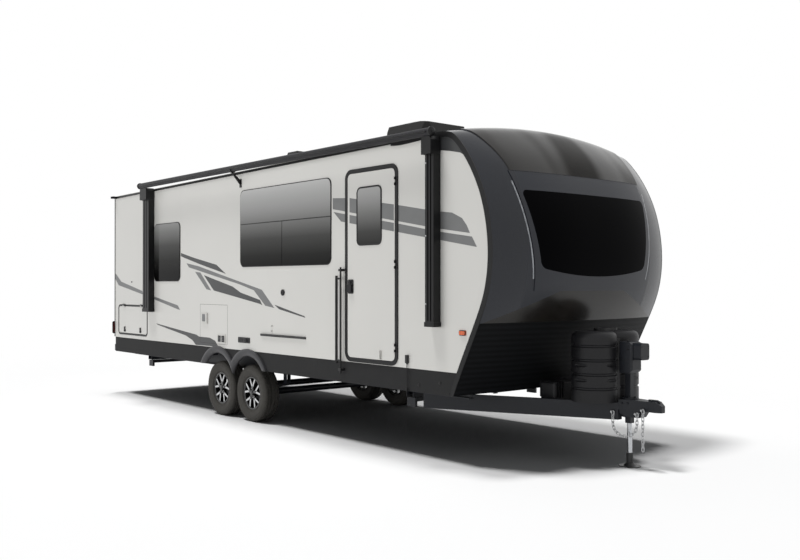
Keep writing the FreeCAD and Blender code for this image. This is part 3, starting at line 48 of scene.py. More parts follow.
# Half the width over the side walls, in metres. Y is -HALF on the door side.
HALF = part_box("wall_left")[1].y
CORNERS = ("front_left", "front_right", "rear_left", "rear_right")


# Small helpers for colour, nodes and meshes.

def srgb(code):
    """An sRGB hex colour as linear red, green, blue and alpha."""
    parts = [int(code[i:i + 2], 16) / 255 for i in (1, 3, 5)]
    return tuple(v / 12.92 if v <= 0.04045 else ((v + 0.055) / 1.055) ** 2.4 for v in parts) + (1.0,)


def per_mm(size):
    """The texture scale whose features are this many millimetres across."""
    return 1000 / size


def add(tree, kind, inputs=None, **settings):
    """One node with its settings, its inputs being values or other nodes' sockets."""
    node = tree.nodes.new(kind)
    for name, value in settings.items():
        setattr(node, name, value)
    for key, value in (inputs or {}).items():
        if isinstance(value, bpy.types.NodeSocket):
            tree.links.new(value, node.inputs[key])
        else:
            node.inputs[key].default_value = value
    return node


def surface(name, colour, roughness, specular=0.5, **sockets):
    """A new material with its shader, its node tree and its place in metres."""
    made = bpy.data.materials.new(name)
    made.use_nodes = True
    tree = made.node_tree
    shader = tree.nodes["Principled BSDF"]
    shader.inputs["Base Color"].default_value = srgb(colour)
    shader.inputs["Roughness"].default_value = roughness
    shader.inputs["Specular IOR Level"].default_value = specular
    for key, value in sockets.items():
        shader.inputs[key.replace("_", " ")].default_value = value
    return made, tree, shader, add(tree, "ShaderNodeTexCoord").outputs["Object"]


def speckle(tree, place, size, detail=2.0):
    """Noise whose features are this many millimetres across."""
    inputs = {"Vector": place, "Scale": per_mm(size), "Detail": detail}
    return add(tree, "ShaderNodeTexNoise", inputs).outputs["Fac"]


def cells(tree, place, size, output="Distance"):
    """Cells this many millimetres across, as the distance from their middles or as one colour each."""
    return add(tree, "ShaderNodeTexVoronoi", {"Vector": place, "Scale": per_mm(size)}).outputs[output]


def weave(tree, place, size):
    """A plain weave with threads this many millimetres wide."""
    return add(tree, "ShaderNodeTexChecker", {"Vector": place, "Scale": per_mm(size)}).outputs["Fac"]


def waves(tree, place, size, direction):
    """Rounded ridges this many millimetres wide, with grooves as wide between them."""
    inputs = {"Vector": place, "Scale": per_mm(size) / 20 * math.pi, "Distortion": 0.0}
    return add(tree, "ShaderNodeTexWave", inputs, wave_type="BANDS", bands_direction=direction).outputs["Fac"]


def axes_of(tree, place):
    """The X, Y and Z of a place."""
    return add(tree, "ShaderNodeSeparateXYZ", {"Vector": place}).outputs


def between(tree, factor, low, high):
    """Two colours mixed by a factor."""
    node = add(tree, "ShaderNodeMix", data_type="RGBA")
    tree.links.new(factor, node.inputs[0])
    node.inputs[6].default_value = srgb(low)
    node.inputs[7].default_value = srgb(high)
    return node.outputs[2]


def spread(tree, factor, low, high, start=0.0, end=1.0, ease="LINEAR"):
    """A factor that runs from start to end, mapped to a range."""
    inputs = {"Value": factor, "From Min": start, "From Max": end, "To Min": low, "To Max": high}
    return add(tree, "ShaderNodeMapRange", inputs, interpolation_type=ease).outputs["Result"]


def tint(tree, shader, factor, low, high):
    """Two colours mixed by a factor, as a shader's colour."""
    tree.links.new(between(tree, factor, low, high), shader.inputs["Base Color"])


def relief(tree, shader, height, depth, base=None):
    """Bump of this many millimetres on a shader."""
    inputs = {"Height": height, "Distance": depth * MM, "Strength": 1.0}
    if base is not None:
        inputs["Normal"] = base
    node = add(tree, "ShaderNodeBump", inputs)
    tree.links.new(node.outputs["Normal"], shader.inputs["Normal"])
    return node.outputs["Normal"]


def maths(tree, operation, first, second=0.0):
    """One arithmetic step on two values or sockets."""
    return add(tree, "ShaderNodeMath", {0: first, 1: second}, operation=operation).outputs[0]


def falling(tree, along, start, slope):
    """A straight line that falls from its start with the distance along it."""
    return maths(tree, "SUBTRACT", start, maths(tree, "MULTIPLY", along, slope))


def mixed(tree, factor, low, high):
    """Two values or sockets mixed by a factor."""
    return add(tree, "ShaderNodeMix", {0: factor, 2: low, 3: high}, data_type="FLOAT").outputs[0]


def blended(tree, factor, low, high):
    """Two colour sockets mixed by a factor."""
    return add(tree, "ShaderNodeMix", {0: factor, 6: low, 7: high}, data_type="RGBA").outputs[2]


# Materials, each named for the real finish.

def plain(name, base, roughness, grain, low, high, bump=None, gloss=None, **sockets):
    """A finish in two shades of one texture, with a bump and a range of roughness from others.

    A texture is its function and the values after the place there, such as its size in mm. The bump's comes
    after its depth in mm, and the roughness's after its range.
    """
    made, tree, shader, place = surface(name, base, roughness, **sockets)
    tint(tree, shader, grain[0](tree, place, *grain[1:]), low, high)
    if gloss:
        smooth, rough, texture, *values = gloss
        tree.links.new(spread(tree, texture(tree, place, *values), smooth, rough), shader.inputs["Roughness"])
    if bump:
        depth, texture, *values = bump
        relief(tree, shader, texture(tree, place, *values), depth)
    return made


def satin_coat(name, low, high, roughness):
    """A satin or matt coat or moulding with a fine orange peel."""
    return plain(name, high, roughness, (speckle, 35, 3.0), low, high, (0.12, speckle, 3), specular=0.28)


def vinyl_film(name, low, high):
    """Printed vinyl film laid on the wall: satin, even, with a faint texture."""
    return plain(name, high, 0.35, (speckle, 150, 3.0), low, high, (0.02, speckle, 3))


# Edges of the cap's glossy areas in metres. The hood lies above its edge and between two lines, each given
# as half its width and how fast that falls with X. The chin lies below its edge, and at the sides below a
# line that falls with the distance from the middle. Outside the shoulder the cap is as smooth as the hood.
HOOD_EDGE = 2.576
HOOD_REAR = (1.336, 0.0988)
HOOD_FRONT = (1.974, 0.3113)
CHIN_EDGE = 1.535
CHIN_SIDE = (1.7036, 0.368)
CAP_SHOULDER = 0.88
CAP_POLISH = 0.33
HOOD_ROUGHNESS = 0.13
CHIN_ROUGHNESS = 0.24
# Soft streaks over the hood: how far they are turned, how they are drawn out, and their size in mm.
STREAK_TURN = 0.35
STREAK_SHAPE = (0.12, 1.0, 0.12)
STREAK_SIZE = 420


def metallic_gelcoat():
    """Gel coat of the moulded cap: satin blue grey with fine flake, glossy brown black on hood and chin."""
    made, tree, shader, place = surface("metallic_gelcoat", "#26282F", 0.4, specular=CAP_POLISH)
    flake = add(tree, "ShaderNodeSeparateColor", {"Color": cells(tree, place, 2.5, "Color")}).outputs["Red"]
    spot = axes_of(tree, place)
    across = maths(tree, "ABSOLUTE", spot["Y"])
    half = maths(tree, "MINIMUM", falling(tree, spot["X"], *HOOD_REAR), falling(tree, spot["X"], *HOOD_FRONT))
    inside = maths(tree, "LESS_THAN", across, half)
    hood = maths(tree, "MULTIPLY", inside, maths(tree, "GREATER_THAN", spot["Z"], HOOD_EDGE))
    chin_top = maths(tree, "MINIMUM", falling(tree, across, *CHIN_SIDE), CHIN_EDGE)
    chin = maths(tree, "LESS_THAN", spot["Z"], chin_top)
    satin = between(tree, flake, "#1F2127", "#282B32")
    gloss = between(tree, speckle(tree, place, 260), "#11100F", "#25221E")
    coat = blended(tree, maths(tree, "MAXIMUM", hood, chin), satin, gloss)
    tree.links.new(coat, shader.inputs["Base Color"])
    smooth = maths(tree, "MAXIMUM", hood, maths(tree, "GREATER_THAN", across, CAP_SHOULDER))
    upper = mixed(tree, smooth, spread(tree, flake, 0.34, 0.46), HOOD_ROUGHNESS)
    tree.links.new(mixed(tree, chin, upper, CHIN_ROUGHNESS), shader.inputs["Roughness"])
    stretch = {"Vector": place, "Rotation": (0, 0, STREAK_TURN), "Scale": STREAK_SHAPE}
    drawn = add(tree, "ShaderNodeMapping", stretch).outputs[0]
    streak = spread(tree, speckle(tree, drawn, STREAK_SIZE, 1.0), 0.06, 0.42, 0.4, 0.6, "SMOOTHSTEP")
    tree.links.new(mixed(tree, hood, CAP_POLISH, streak), shader.inputs["Specular IOR Level"])
    relief(tree, shader, speckle(tree, place, 700, 1.0), 2.0)
    return made


def ribbed_guard():
    """Moulded guard below the cap: near black, matt, with fine level ribs, and painted shade darker in their
    grooves.
    """
    made, tree, shader, place = surface("ribbed_abs", "#0C0D0F", 0.55, specular=0.08)
    ribs = waves(tree, place, 24, "Z")
    first = relief(tree, shader, ribs, 0.9)
    relief(tree, shader, speckle(tree, place, 2), 0.15, first)
    # Painted shade: the colour follows the ribs, darker in their grooves and lighter on their crests.
    tint(tree, shader, ribs, "#08090A", "#111214")
    return made


# Heights between which the windows' painted reflection runs from black to grey, its end shades, and the shades
# between with their shares.
REFLECTION_LOW, REFLECTION_HIGH = 1.62, 2.70
REFLECTION_ENDS = ("#020202", "#BABAB9")
REFLECTION_SHADES = ((0.12, "#0A0A0A"), (0.27, "#222221"), (0.45, "#434342"), (0.62, "#737372"), (0.8, "#9F9F9E"))


def painted_reflection_glass():
    """Frameless acrylic windows, with a painted reflection that runs from black at the sill to grey at the top.
    """
    made, tree, shader, place = surface("glass_with_painted_reflection", "#303030", 0.08, specular=0.06)
    # Painted reflection: the colour lightens with height, as the bright studio above would show in the glass.
    level = spread(tree, axes_of(tree, place)["Z"], 0.0, 1.0, REFLECTION_LOW, REFLECTION_HIGH)
    ramp = add(tree, "ShaderNodeValToRGB", {"Fac": level})
    stops = ramp.color_ramp.elements
    for stop, code in zip(stops, REFLECTION_ENDS):
        stop.color = srgb(code)
    for share, code in REFLECTION_SHADES:
        stops.new(share).color = srgb(code)
    tree.links.new(ramp.outputs["Color"], shader.inputs["Base Color"])
    relief(tree, shader, speckle(tree, place, 400, 0.0), 0.3)
    return made


# Height of the top of the black sleeve on the jack's ram.
SLEEVE_TOP = 0.1205


def jack_steel():
    """Chromed ram above, and a black powder-coated sleeve and foot below it."""
    made, tree, shader, place = surface("chromed_ram", "#B8BABD", 0.2, Metallic=1.0)
    above = maths(tree, "GREATER_THAN", axes_of(tree, place)["Z"], SLEEVE_TOP)
    grain = speckle(tree, place, 30, 3.0)
    bright = between(tree, grain, "#A9ABAE", "#C4C6C9")
    dark = between(tree, grain, "#111112", "#1B1B1C")
    tree.links.new(blended(tree, above, dark, bright), shader.inputs["Base Color"])
    tree.links.new(above, shader.inputs["Metallic"])
    tree.links.new(mixed(tree, above, 0.42, 0.18), shader.inputs["Roughness"])
    relief(tree, shader, speckle(tree, place, 3), 0.08)
    return made


# Where the covers of the door side are white: rear and front limit, and foot.
PALE_COVERS = ((-1.6, -0.9, 0.8), (0.03, 0.13, 1.05))


def fitting_plastic():
    """Moulded ABS covers on the door side: white ones in two places, black elsewhere."""
    made, tree, shader, place = surface("moulded_abs_covers", "#1A1A1B", 0.45)
    spot = axes_of(tree, place)
    pale = 0.0
    for rear, front, foot in PALE_COVERS:
        inside = maths(tree, "GREATER_THAN", spot["X"], rear)
        for test, axis, limit in (("LESS_THAN", "X", front), ("GREATER_THAN", "Z", foot)):
            inside = maths(tree, "MULTIPLY", inside, maths(tree, test, spot[axis], limit))
        pale = maths(tree, "MAXIMUM", pale, inside)
    grain = speckle(tree, place, 60, 3.0)
    white = between(tree, grain, "#BFBEBA", "#C9C8C4")
    black = between(tree, grain, "#141415", "#1D1D1E")
    tree.links.new(blended(tree, pale, black, white), shader.inputs["Base Color"])
    relief(tree, shader, speckle(tree, place, 2), 0.08)
    return made


def lens(name, deep, bright):
    """Moulded polycarbonate lens with fine upright flutes, with painted shade deeper in their grooves and a
    painted highlight on their crests.
    """
    made, tree, shader, place = surface(name, bright, 0.12, IOR=1.58, Coat_Weight=0.4)
    flutes = waves(tree, place, 10, "X")
    # Painted shade and highlight: the deep colour follows the flutes' grooves and the bright one their crests.
    tint(tree, shader, flutes, deep, bright)
    relief(tree, shader, flutes, 0.4)
    return made


# Gel-coated fibreglass laminate of the walls: a smooth warm grey skin with a long, faint waviness.
GELCOAT = plain(
    "gelcoat_laminate", "#C9C8C4", 0.3, (speckle, 900), "#C5C4C0", "#CCCBC7", (0.6, speckle, 220, 1.0),
    (0.26, 0.36, speckle, 60), Coat_Weight=0.1, Coat_Roughness=0.15,
)
# Laid rubber roof membrane: matt, off-white, with dust in its low places.
MEMBRANE = plain(
    "rubber_membrane", "#BFBEB9", 0.8, (speckle, 400, 6.0), "#B2B0AA", "#C4C3BF", (0.3, speckle, 12)
)
CAP_GELCOAT = metallic_gelcoat()
GUARD = ribbed_guard()
# Black-tinted curved glass with a very slight ripple.
SCREEN = plain(
    "black_tinted_glass", "#020203", 0.06, (speckle, 700), "#020203", "#060608", (0.4, speckle, 500, 0.0),
    specular=0.015,
)
# Window glass with a painted reflection from black below to grey above.
REFLECTION_GLASS = painted_reflection_glass()
# Powder-coated aluminium trim: satin black.
TRIM = satin_coat("powder_coated_aluminium", "#0E0E0F", "#161617", 0.38)
# Moulded lips round the wheels, grey sockets and flaps on the covers, and beads of roof sealant.
ARCH_PLASTIC = satin_coat("moulded_arch_abs", "#333335", "#404042", 0.34)
GREY_PLASTIC = satin_coat("grey_moulded_abs", "#6C6D6E", "#7B7C7D", 0.45)
SEALANT = satin_coat("self_levelling_sealant", "#A9A8A4", "#B6B5B1", 0.6)
# Black chassis paint on rolled steel: semi-gloss, with a little road dust.
CHASSIS = plain(
    "chassis_paint", "#17181B", 0.36, (speckle, 140, 8.0), "#131519", "#1D1F24", (0.15, speckle, 6),
    (0.28, 0.5, speckle, 140, 8.0), specular=0.3,
)
# Pre-painted sheet metal of the skirt: charcoal, satin, slightly wavy between its fixings.
SKIRT = plain(
    "painted_sheet_metal", "#292929", 0.55, (speckle, 300, 4.0), "#2A2A2B", "#303030", (1.0, speckle, 260, 0.0),
    specular=0.06,
)
# Moulded polyethylene and ABS covers: black, with a leather-like moulded grain.
PLASTIC = plain(
    "moulded_polyethylene", "#121213", 0.45, (speckle, 80, 4.0), "#0F0F10", "#17171A", (0.12, cells, 2.2),
    specular=0.3,
)
# Glossy moulded shroud of the roof units: black, smooth, with soft sinks.
SHROUD = plain(
    "gloss_abs", "#0D0D0C", 0.2, (speckle, 120, 3.0), "#0A0A09", "#131211", (0.6, speckle, 90, 0.0),
    specular=0.25,
)
FITTING = fitting_plastic()
# Vulcanised tyre rubber: dark warm grey, matt, with a dusty bloom.
RUBBER = plain(
    "vulcanised_rubber", "#2B2A29", 0.72, (speckle, 25, 6.0), "#31302D", "#454340", (0.1, speckle, 1.5),
    specular=0.25,
)
# Gloss-black painted cast aluminium.
ALLOY = plain(
    "black_painted_alloy", "#0D0D0E", 0.25, (speckle, 20), "#0A0A0B", "#131314", (0.08, speckle, 4),
    Coat_Weight=0.5,
)
# Diamond-turned aluminium: bright and even, with fine turning marks over the face.
MACHINED = plain(
    "machined_aluminium", "#C9CACB", 0.24, (speckle, 1.2, 3.0), "#C9CACB", "#C9CACB", (0.04, speckle, 1.2, 3.0),
    (0.18, 0.34, speckle, 1.2, 3.0), Metallic=1.0,
)
# Zinc-plated steel: pale grey metal with a faint spangle.
ZINC = plain(
    "zinc_plated_steel", "#B9BABB", 0.32, (cells, 9), "#A6A7A8", "#C8C9CA", None, (0.25, 0.45, cells, 9),
    Metallic=1.0,
)
RAM = jack_steel()
CLEAR_LENS = lens("frosted_polycarbonate", "#85888E", "#9EA1A6")
AMBER_LENS = lens("amber_polycarbonate", "#A8390C", "#E0651C")
RED_LENS = lens("red_polycarbonate", "#5C0808", "#A31212")
SILVER_FILM = vinyl_film("silver_vinyl", "#636464", "#717272")
DARK_FILM = vinyl_film("charcoal_vinyl", "#2F3031", "#3A3B3C")
# Floor board with a black woven membrane below.
BOARD = plain("woven_underfloor", "#151516", 0.75, (weave, 6), "#121213", "#1A1A1B", (0.2, weave, 6))
# Rolled vinyl-coated awning cloth: charcoal, uneven, with its weave.
CLOTH = plain(
    "vinyl_coated_cloth", "#1E1E20", 0.55, (speckle, 60, 4.0), "#17171A", "#27272A", (0.1, weave, 3),
    specular=0.3,
)
# Extruded rubber seal: deep black and matt.
SEAL = plain("extruded_rubber_seal", "#0B0B0B", 0.65, (speckle, 15), "#090909", "#111111")

# The finish of each solid that stays as it is.
FINISHES = {
    GELCOAT: ("wall_right", "wall_left", "wall_rear", "entry_door", "hatch_right", "hatch_left"),
    MEMBRANE: ("roof",),
    CAP_GELCOAT: ("front_cap",),
    GUARD: ("front_guard",),
    SCREEN: ("windshield",),
    REFLECTION_GLASS: ("window_panes", "door_pane"),
    TRIM: (
        "window_frames", "cap_trim", "door_frame", "door_window_frame", "hatch_frames",
        "awning_arms", "grab_handle", "gutter_spouts",
    ),
    ARCH_PLASTIC: ("arch_trims",),
    CHASSIS: (
        "chassis_rails", "cross_members", "tongue_rails", "coupler", "jack_tube", "axles", "leaf_springs",
        "stabiliser_beams", "bumper", *(f"stabiliser_{corner}" for corner in CORNERS),
    ),
    SKIRT: ("skirts",),
    PLASTIC: ("battery_box", "gas_cover", "door_latch", "vent_collar"),
    FITTING: ("wall_fittings",),
    SHROUD: ("air_conditioner", "vent_lid"),
    RUBBER: [f"tyre_{corner}" for corner in CORNERS],
    ALLOY: [f"rim_{corner}" for corner in CORNERS],
    ZINC: ("safety_chains",),
    RAM: ("jack_leg",),
    CLEAR_LENS: ("cap_lamps",),
    AMBER_LENS: ("side_lamps",),
    RED_LENS: ("tail_lamps",),
    BOARD: ("floor",),
    CLOTH: ("awning_roller",),
}
for finish, names in FINISHES.items():
    for name in names:
        NODES[name].data.materials.clear()
        NODES[name].data.materials.append(finish)


# Mesh building.

def mesh_from(name, bm, smooth=30):
    """A mesh from a bmesh, with faces smooth below an angle in degrees."""
    bmesh.ops.recalc_face_normals(bm, faces=bm.faces[:])
    mesh = bpy.data.meshes.new(name)
    bm.to_mesh(mesh)
    bm.free()
    mesh.shade_smooth()
    mesh.set_sharp_from_angle(angle=math.radians(smooth))
    return mesh


def piece(name, bm, body, *materials, smooth=30, slot=None):
    """A finished object from a bmesh, which rides on a body of the caravan."""
    mesh = mesh_from(name, bm, smooth)
    made = bpy.data.objects.new(name, mesh)
    bpy.context.scene.collection.objects.link(made)
    for material in materials:
        mesh.materials.append(material)
    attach(made, body)
    return made


def slab_of(bm, points, out, material=0):
    """A flat plate from points in space, thickened by a vector."""
    near = [bm.verts.new(point) for point in points]
    far = [bm.verts.new(Vector(point) + Vector(out)) for point in points]
    faces = [bm.faces.new(near), bm.faces.new(far)]
    for i in range(len(points)):
        j = (i + 1) % len(points)
        faces.append(bm.faces.new((near[i], near[j], far[j], far[i])))
    for face in faces:
        face.material_index = material


def side_plate(bm, outline, y, thickness, side, material=0):
    """A thin flat plate on a side wall, from X and Z points, standing out from y."""
    slab_of(bm, [(x, side * y, z) for x, z in outline], (0, side * thickness, 0), material)


def skin(bm, rows, around=True, along=True, material=0):
    """Faces between rows of vertices: around joins each row's ends, along joins the last row to the first."""
    for row, after in zip(rows, rows[1:] + rows[:1] if along else rows[1:]):
        for j in range(len(row) if around else len(row) - 1):
            k = (j + 1) % len(row)
            corners = list(dict.fromkeys((row[j], row[k], after[k], after[j])))
            bm.faces.new(corners).material_index = material


def ring_of(bm, outer, inner, out):
    """A flat ring between two outlines of as many points, thickened by a vector."""
    start, end = Vector(), Vector(out)
    section = ((outer, start), (outer, end), (inner, end), (inner, start))
    skin(bm, [[bm.verts.new(Vector(point) + shift) for point in line] for line, shift in section])


def oblong(u0, u1, v0, v1):
    """A rectangle's outline."""
    return [(u0, v0), (u1, v0), (u1, v1), (u0, v1)]


def rounded(u0, u1, v0, v1, radius, steps=6):
    """A rectangle's outline with round corners."""
    points = []
    corners = (
        (u1 - radius, v1 - radius, 0), (u0 + radius, v1 - radius, 90),
        (u0 + radius, v0 + radius, 180), (u1 - radius, v0 + radius, 270),
    )
    for u, v, start in corners:
        for i in range(steps + 1):
            turn = math.radians(start + 90 * i / steps)
            points.append((u + radius * math.cos(turn), v + radius * math.sin(turn)))
    return points


def centred(u, v, half_u, half_v, radius):
    """A rectangle's outline with round corners, from its middle and half sizes."""
    return rounded(u - half_u, u + half_u, v - half_v, v + half_v, radius)


def ring_points(u0, u1, v0, v1, pitch):
    """Points along a rectangle's straight sides, clear of its corners."""
    points = []
    wide, tall = u1 - u0, v1 - v0
    for length, place in ((wide, 0), (tall, 1)):
        count = max(2, round((length - 0.2) / pitch) + 1)
        for i in range(count):
            along = 0.1 + (length - 0.2) * i / (count - 1)
            for end in (0, 1):
                if place == 0:
                    points.append((u0 + along, v0 + tall * end))
                else:
                    points.append((u0 + wide * end, v0 + along))
    return points


def cut_to(outline, low, high, way=0):
    """An outline cut to a range of its first or second coordinate."""
    for limit, keep in ((low, lambda v: v >= low), (high, lambda v: v <= high)):
        kept = []
        for i, point in enumerate(outline):
            before = outline[i - 1]
            if keep(point[way]) != keep(before[way]):
                share = (limit - before[way]) / (point[way] - before[way])
                kept.append(tuple(b + (p - b) * share for b, p in zip(before, point)))
            if keep(point[way]):
                kept.append(point)
        outline = kept
    return outline


def ring_at(bm, middle, first, second, radius, steps):
    """A ring of vertices round a point, in the plane of two directions."""
    turns = [2 * math.pi * i / steps for i in range(steps)]
    return [bm.verts.new(middle + (first * math.cos(t) + second * math.sin(t)) * radius) for t in turns]


def lathe(bm, profile, centre, axis, steps=20, material=0):
    """A turned form from radius and distance along an axis, closed where the radius is 0."""
    axis = Vector(axis).normalized()
    first = axis.orthogonal().normalized()
    second = axis.cross(first)
    rings = []
    for radius, along in profile:
        middle = Vector(centre) + axis * along
        if radius == 0:
            rings.append([bm.verts.new(middle)] * steps)
        else:
            rings.append(ring_at(bm, middle, first, second, radius, steps))
    skin(bm, rings, along=False, material=material)


def turned(bm, profile, centre, axis, steps=20, material=0):
    """A turned form whose profile is in millimetres."""
    lathe(bm, [(radius * MM, along * MM) for radius, along in profile], centre, axis, steps, material)


# A pan-head screw with its drive recess, as radius and height in shares of its radius.
SCREW_HEAD = ((0, -0.2), (1, -0.2), (1, 0.2), (0.8, 0.5), (0.45, 0.62), (0.34, 0.62), (0.28, 0.25), (0, 0.25))


def screw(bm, centre, axis, radius, material=0):
    """A pan-head screw with a drive recess."""
    lathe(bm, [(radius * r, radius * a) for r, a in SCREW_HEAD], centre, axis, 12, material)


def hex_head(bm, centre, axis, radius, height, material=0):
    """A six-sided bolt head or nut with a chamfered top, on a round washer."""
    washer = [(0, -0.001), (radius * 1.35, -0.001), (radius * 1.35, 0.0015), (radius, 0.0015)]
    lathe(bm, washer, centre, axis, 20, material)
    head = [(0, 0), (radius, 0), (radius, height * 0.85), (radius * 0.86, height), (radius * 0.5, height)]
    lathe(bm, head + [(radius * 0.45, height * 0.9), (0, height * 0.9)], centre, axis, 6, material)


# Graphics of the side walls as X and Z points: silver ones and charcoal ones.
SILVER_STRIPES = (
    ((-4.199, 1.77), (-3.97, 1.63), (-3.245, 1.496), (-2.991, 1.442), (-2.196, 1.318), (-2.128, 1.26),
     (-2.196, 1.266), (-3.244, 1.45), (-4.061, 1.578), (-4.199, 1.69)),
    ((-1.955, 1.864), (-1.616, 1.817), (-1.076, 1.711), (-0.617, 1.623), (-0.137, 1.531), (0.126, 1.329),
     (-0.062, 1.351), (-0.309, 1.524), (-0.617, 1.59), (-1.885, 1.808)),
    ((-1.721, 1.75), (-1.582, 1.74), (-1.305, 1.516), (-1.424, 1.531)),
    ((1.22, 2.470), (1.50, 2.452), (2.249, 2.333), (2.758, 2.246), (2.977, 2.219), (3.102, 2.164),
     (3.16, 2.10), (3.199, 2.031), (2.758, 2.094), (2.249, 2.182), (1.22, 2.358)),
    ((1.235, 2.328), (2.249, 2.160), (2.758, 2.068), (3.223, 2.000), (3.283, 1.909), (2.758, 1.996),
     (2.249, 2.080), (1.361, 2.225)),
)
CHARCOAL_STRIPES = (
    ((2.785, 2.786), (2.952, 2.759), (3.077, 2.732), (3.14, 2.70), (3.09, 2.79), (3.012, 2.852),
     (2.918, 2.904), (2.785, 2.935)),
    ((-2.105, 1.998), (-1.758, 1.929), (-1.174, 1.83), (-0.946, 1.718), (-1.582, 1.841), (-2.105, 1.954)),
    ((-1.493, 1.707), (-0.787, 1.566), (-0.603, 1.496), (-0.175, 1.415), (-0.124, 1.356), (-0.175, 1.37),
     (-1.24, 1.516)),
    ((0.126, 1.367), (0.711, 1.255), (0.731, 1.238), (0.22, 1.318)),
    ((-2.827, 1.063), (-1.685, 0.957), (-1.614, 0.937), (-1.339, 0.934), (-1.204, 0.903), (-1.123, 0.834),
     (-1.7, 0.828), (-1.791, 0.884), (-1.973, 0.935), (-2.784, 1.045)),
)
# The film's thickness and its gap to the face below it, the door's leaf and glass, and how far the film
# stays inside the leaf's edge. FAR is a limit beyond every outline.
FILM = 0.4 * MM
FILM_GAP = 0.1 * MM
DOOR_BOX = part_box("door_frame")
DOOR_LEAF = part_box("entry_door")
DOOR_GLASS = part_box("door_window_frame")
DOOR_FACE = HALF + 8 * MM
DOOR_EDGE = 30 * MM
FAR = 9.0


def stripe_films(bm, stripes, spans, face, side, material=0):
    """Film for each stripe on a flat face, within the given ranges of X."""
    for outline in stripes:
        for low, high in spans:
            part = cut_to(list(outline), low, high)
            if len(part) > 2:
                side_plate(bm, part, face + FILM_GAP, FILM, side, material)


def wall_graphics(name, side, *spans):
    """Film on one side wall, within ranges of X that leave out a door."""
    bm = bmesh.new()
    stripe_films(bm, SILVER_STRIPES, spans, HALF, side)
    stripe_films(bm, CHARCOAL_STRIPES, spans, HALF, side, 1)
    piece(name, bm, "trailer", SILVER_FILM, DARK_FILM)


def door_graphics():
    """The two upper stripes where they cross the entry door, beside its window."""
    bm = bmesh.new()
    spans = ((DOOR_LEAF[0].x + DOOR_EDGE, DOOR_GLASS[0].x), (DOOR_GLASS[1].x, DOOR_LEAF[1].x - DOOR_EDGE))
    stripe_films(bm, SILVER_STRIPES[3:5], spans, DOOR_FACE, -1)
    piece("stripes_door", bm, "entry_door", SILVER_FILM)


wall_graphics("stripes_right", -1, (-FAR, DOOR_BOX[0].x), (DOOR_BOX[1].x, FAR))
wall_graphics("stripes_left", 1, (-FAR, FAR))
door_graphics()


# Window glass as X and Z corners and side, and the main window's two bars.
WINDOWS = (
    (-0.596, 1.191, 1.800, 2.680, -1), (-2.870, -2.129, 1.638, 2.398, -1),
    (-0.596, 0.604, 1.800, 2.500, 1), (-2.870, -2.129, 1.638, 2.398, 1),
)
BAR_X, BAR_Z = 0.289, 2.288
BAR_GAP = 5 * MM
GLASS_INSET = 1 * MM
GLASS_CORNER = 75 * MM
GLASS_THICKNESS = 3 * MM
GLASS_FACE = HALF + 6.2 * MM


def window_glass():
    """Frameless panes on the window flanges, with slim gaps at the main window's bars."""
    bm = bmesh.new()
    for x0, x1, z0, z1, side in WINDOWS:
        edges = (x0 + GLASS_INSET, x1 - GLASS_INSET, z0 + GLASS_INSET, z1 - GLASS_INSET)
        whole = rounded(*edges, GLASS_CORNER)
        panes = [whole]
        if side < 0 and x1 > 0:
            lower = cut_to(whole, -FAR, BAR_Z - BAR_GAP, 1)
            panes = [cut_to(whole, BAR_Z + BAR_GAP, FAR, 1), cut_to(lower, -FAR, BAR_X - BAR_GAP)]
            panes.append(cut_to(lower, BAR_X + BAR_GAP, FAR))
        for pane in panes:
            side_plate(bm, pane, GLASS_FACE, GLASS_THICKNESS, side)
    made = piece("window_glass", bm, "trailer", REFLECTION_GLASS)
    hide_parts("window_panes")


window_glass()


# Seams of the skirts and round the utility door.
SKIRT_FACE = HALF - 3 * MM
SKIRT_LOW, SKIRT_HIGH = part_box("skirts")[0].z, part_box("skirts")[1].z
SKIRT_SEAMS = (-2.62, 0.93, 2.405)
PANEL = (-1.585, -0.905, 0.866, 1.345)
SEAM_WIDTH = 3 * MM
SEAM_RISE = 0.5 * MM
SEAM_GAP = 0.05 * MM


def seams():
    """Dark joint lines of the skirt plates and round the panel by the wheels."""
    bm = bmesh.new()
    for side in (-1, 1):
        for x in SKIRT_SEAMS:
            joint = oblong(x - SEAM_WIDTH / 2, x + SEAM_WIDTH / 2, SKIRT_LOW, SKIRT_HIGH)
            side_plate(bm, joint, SKIRT_FACE + SEAM_GAP, SEAM_RISE, side)
    x0, x1, z0, z1 = PANEL
    outer = rounded(x0, x1, z0, z1, 12 * MM, 3)
    inner = rounded(x0 + SEAM_WIDTH, x1 - SEAM_WIDTH, z0 + SEAM_WIDTH, z1 - SEAM_WIDTH, 9 * MM, 3)
    y = -HALF - SEAM_GAP
    ring_of(bm, [(x, y, z) for x, z in outer], [(x, y, z) for x, z in inner], (0, -SEAM_RISE, 0))
    piece("panel_seams", bm, "trailer", SEAL)


# Screws: the first X, pitch and count along the skirts, the ends of the arches between, how far they stay
# inside the edges, their radii, and the places of those on the awning's arms as X and Z.
SKIRT_SCREWS = (-4.1, 0.32, 23)
ARCHES = (-1.60, 0.02)
SKIRT_INSET = 20 * MM
HATCH_INSET = 11 * MM
DOOR_INSET = 12 * MM
SKIRT_SCREW = 5 * MM
FRAME_SCREW = 3.5 * MM
ARM_SCREW = 7 * MM
ARM_FACE = HALF + 127 * MM
ARM_SCREWS = ((-2.975, 2.72), (-2.975, 1.96), (-2.975, 1.49), (2.775, 2.66), (2.775, 2.02), (2.775, 1.42))


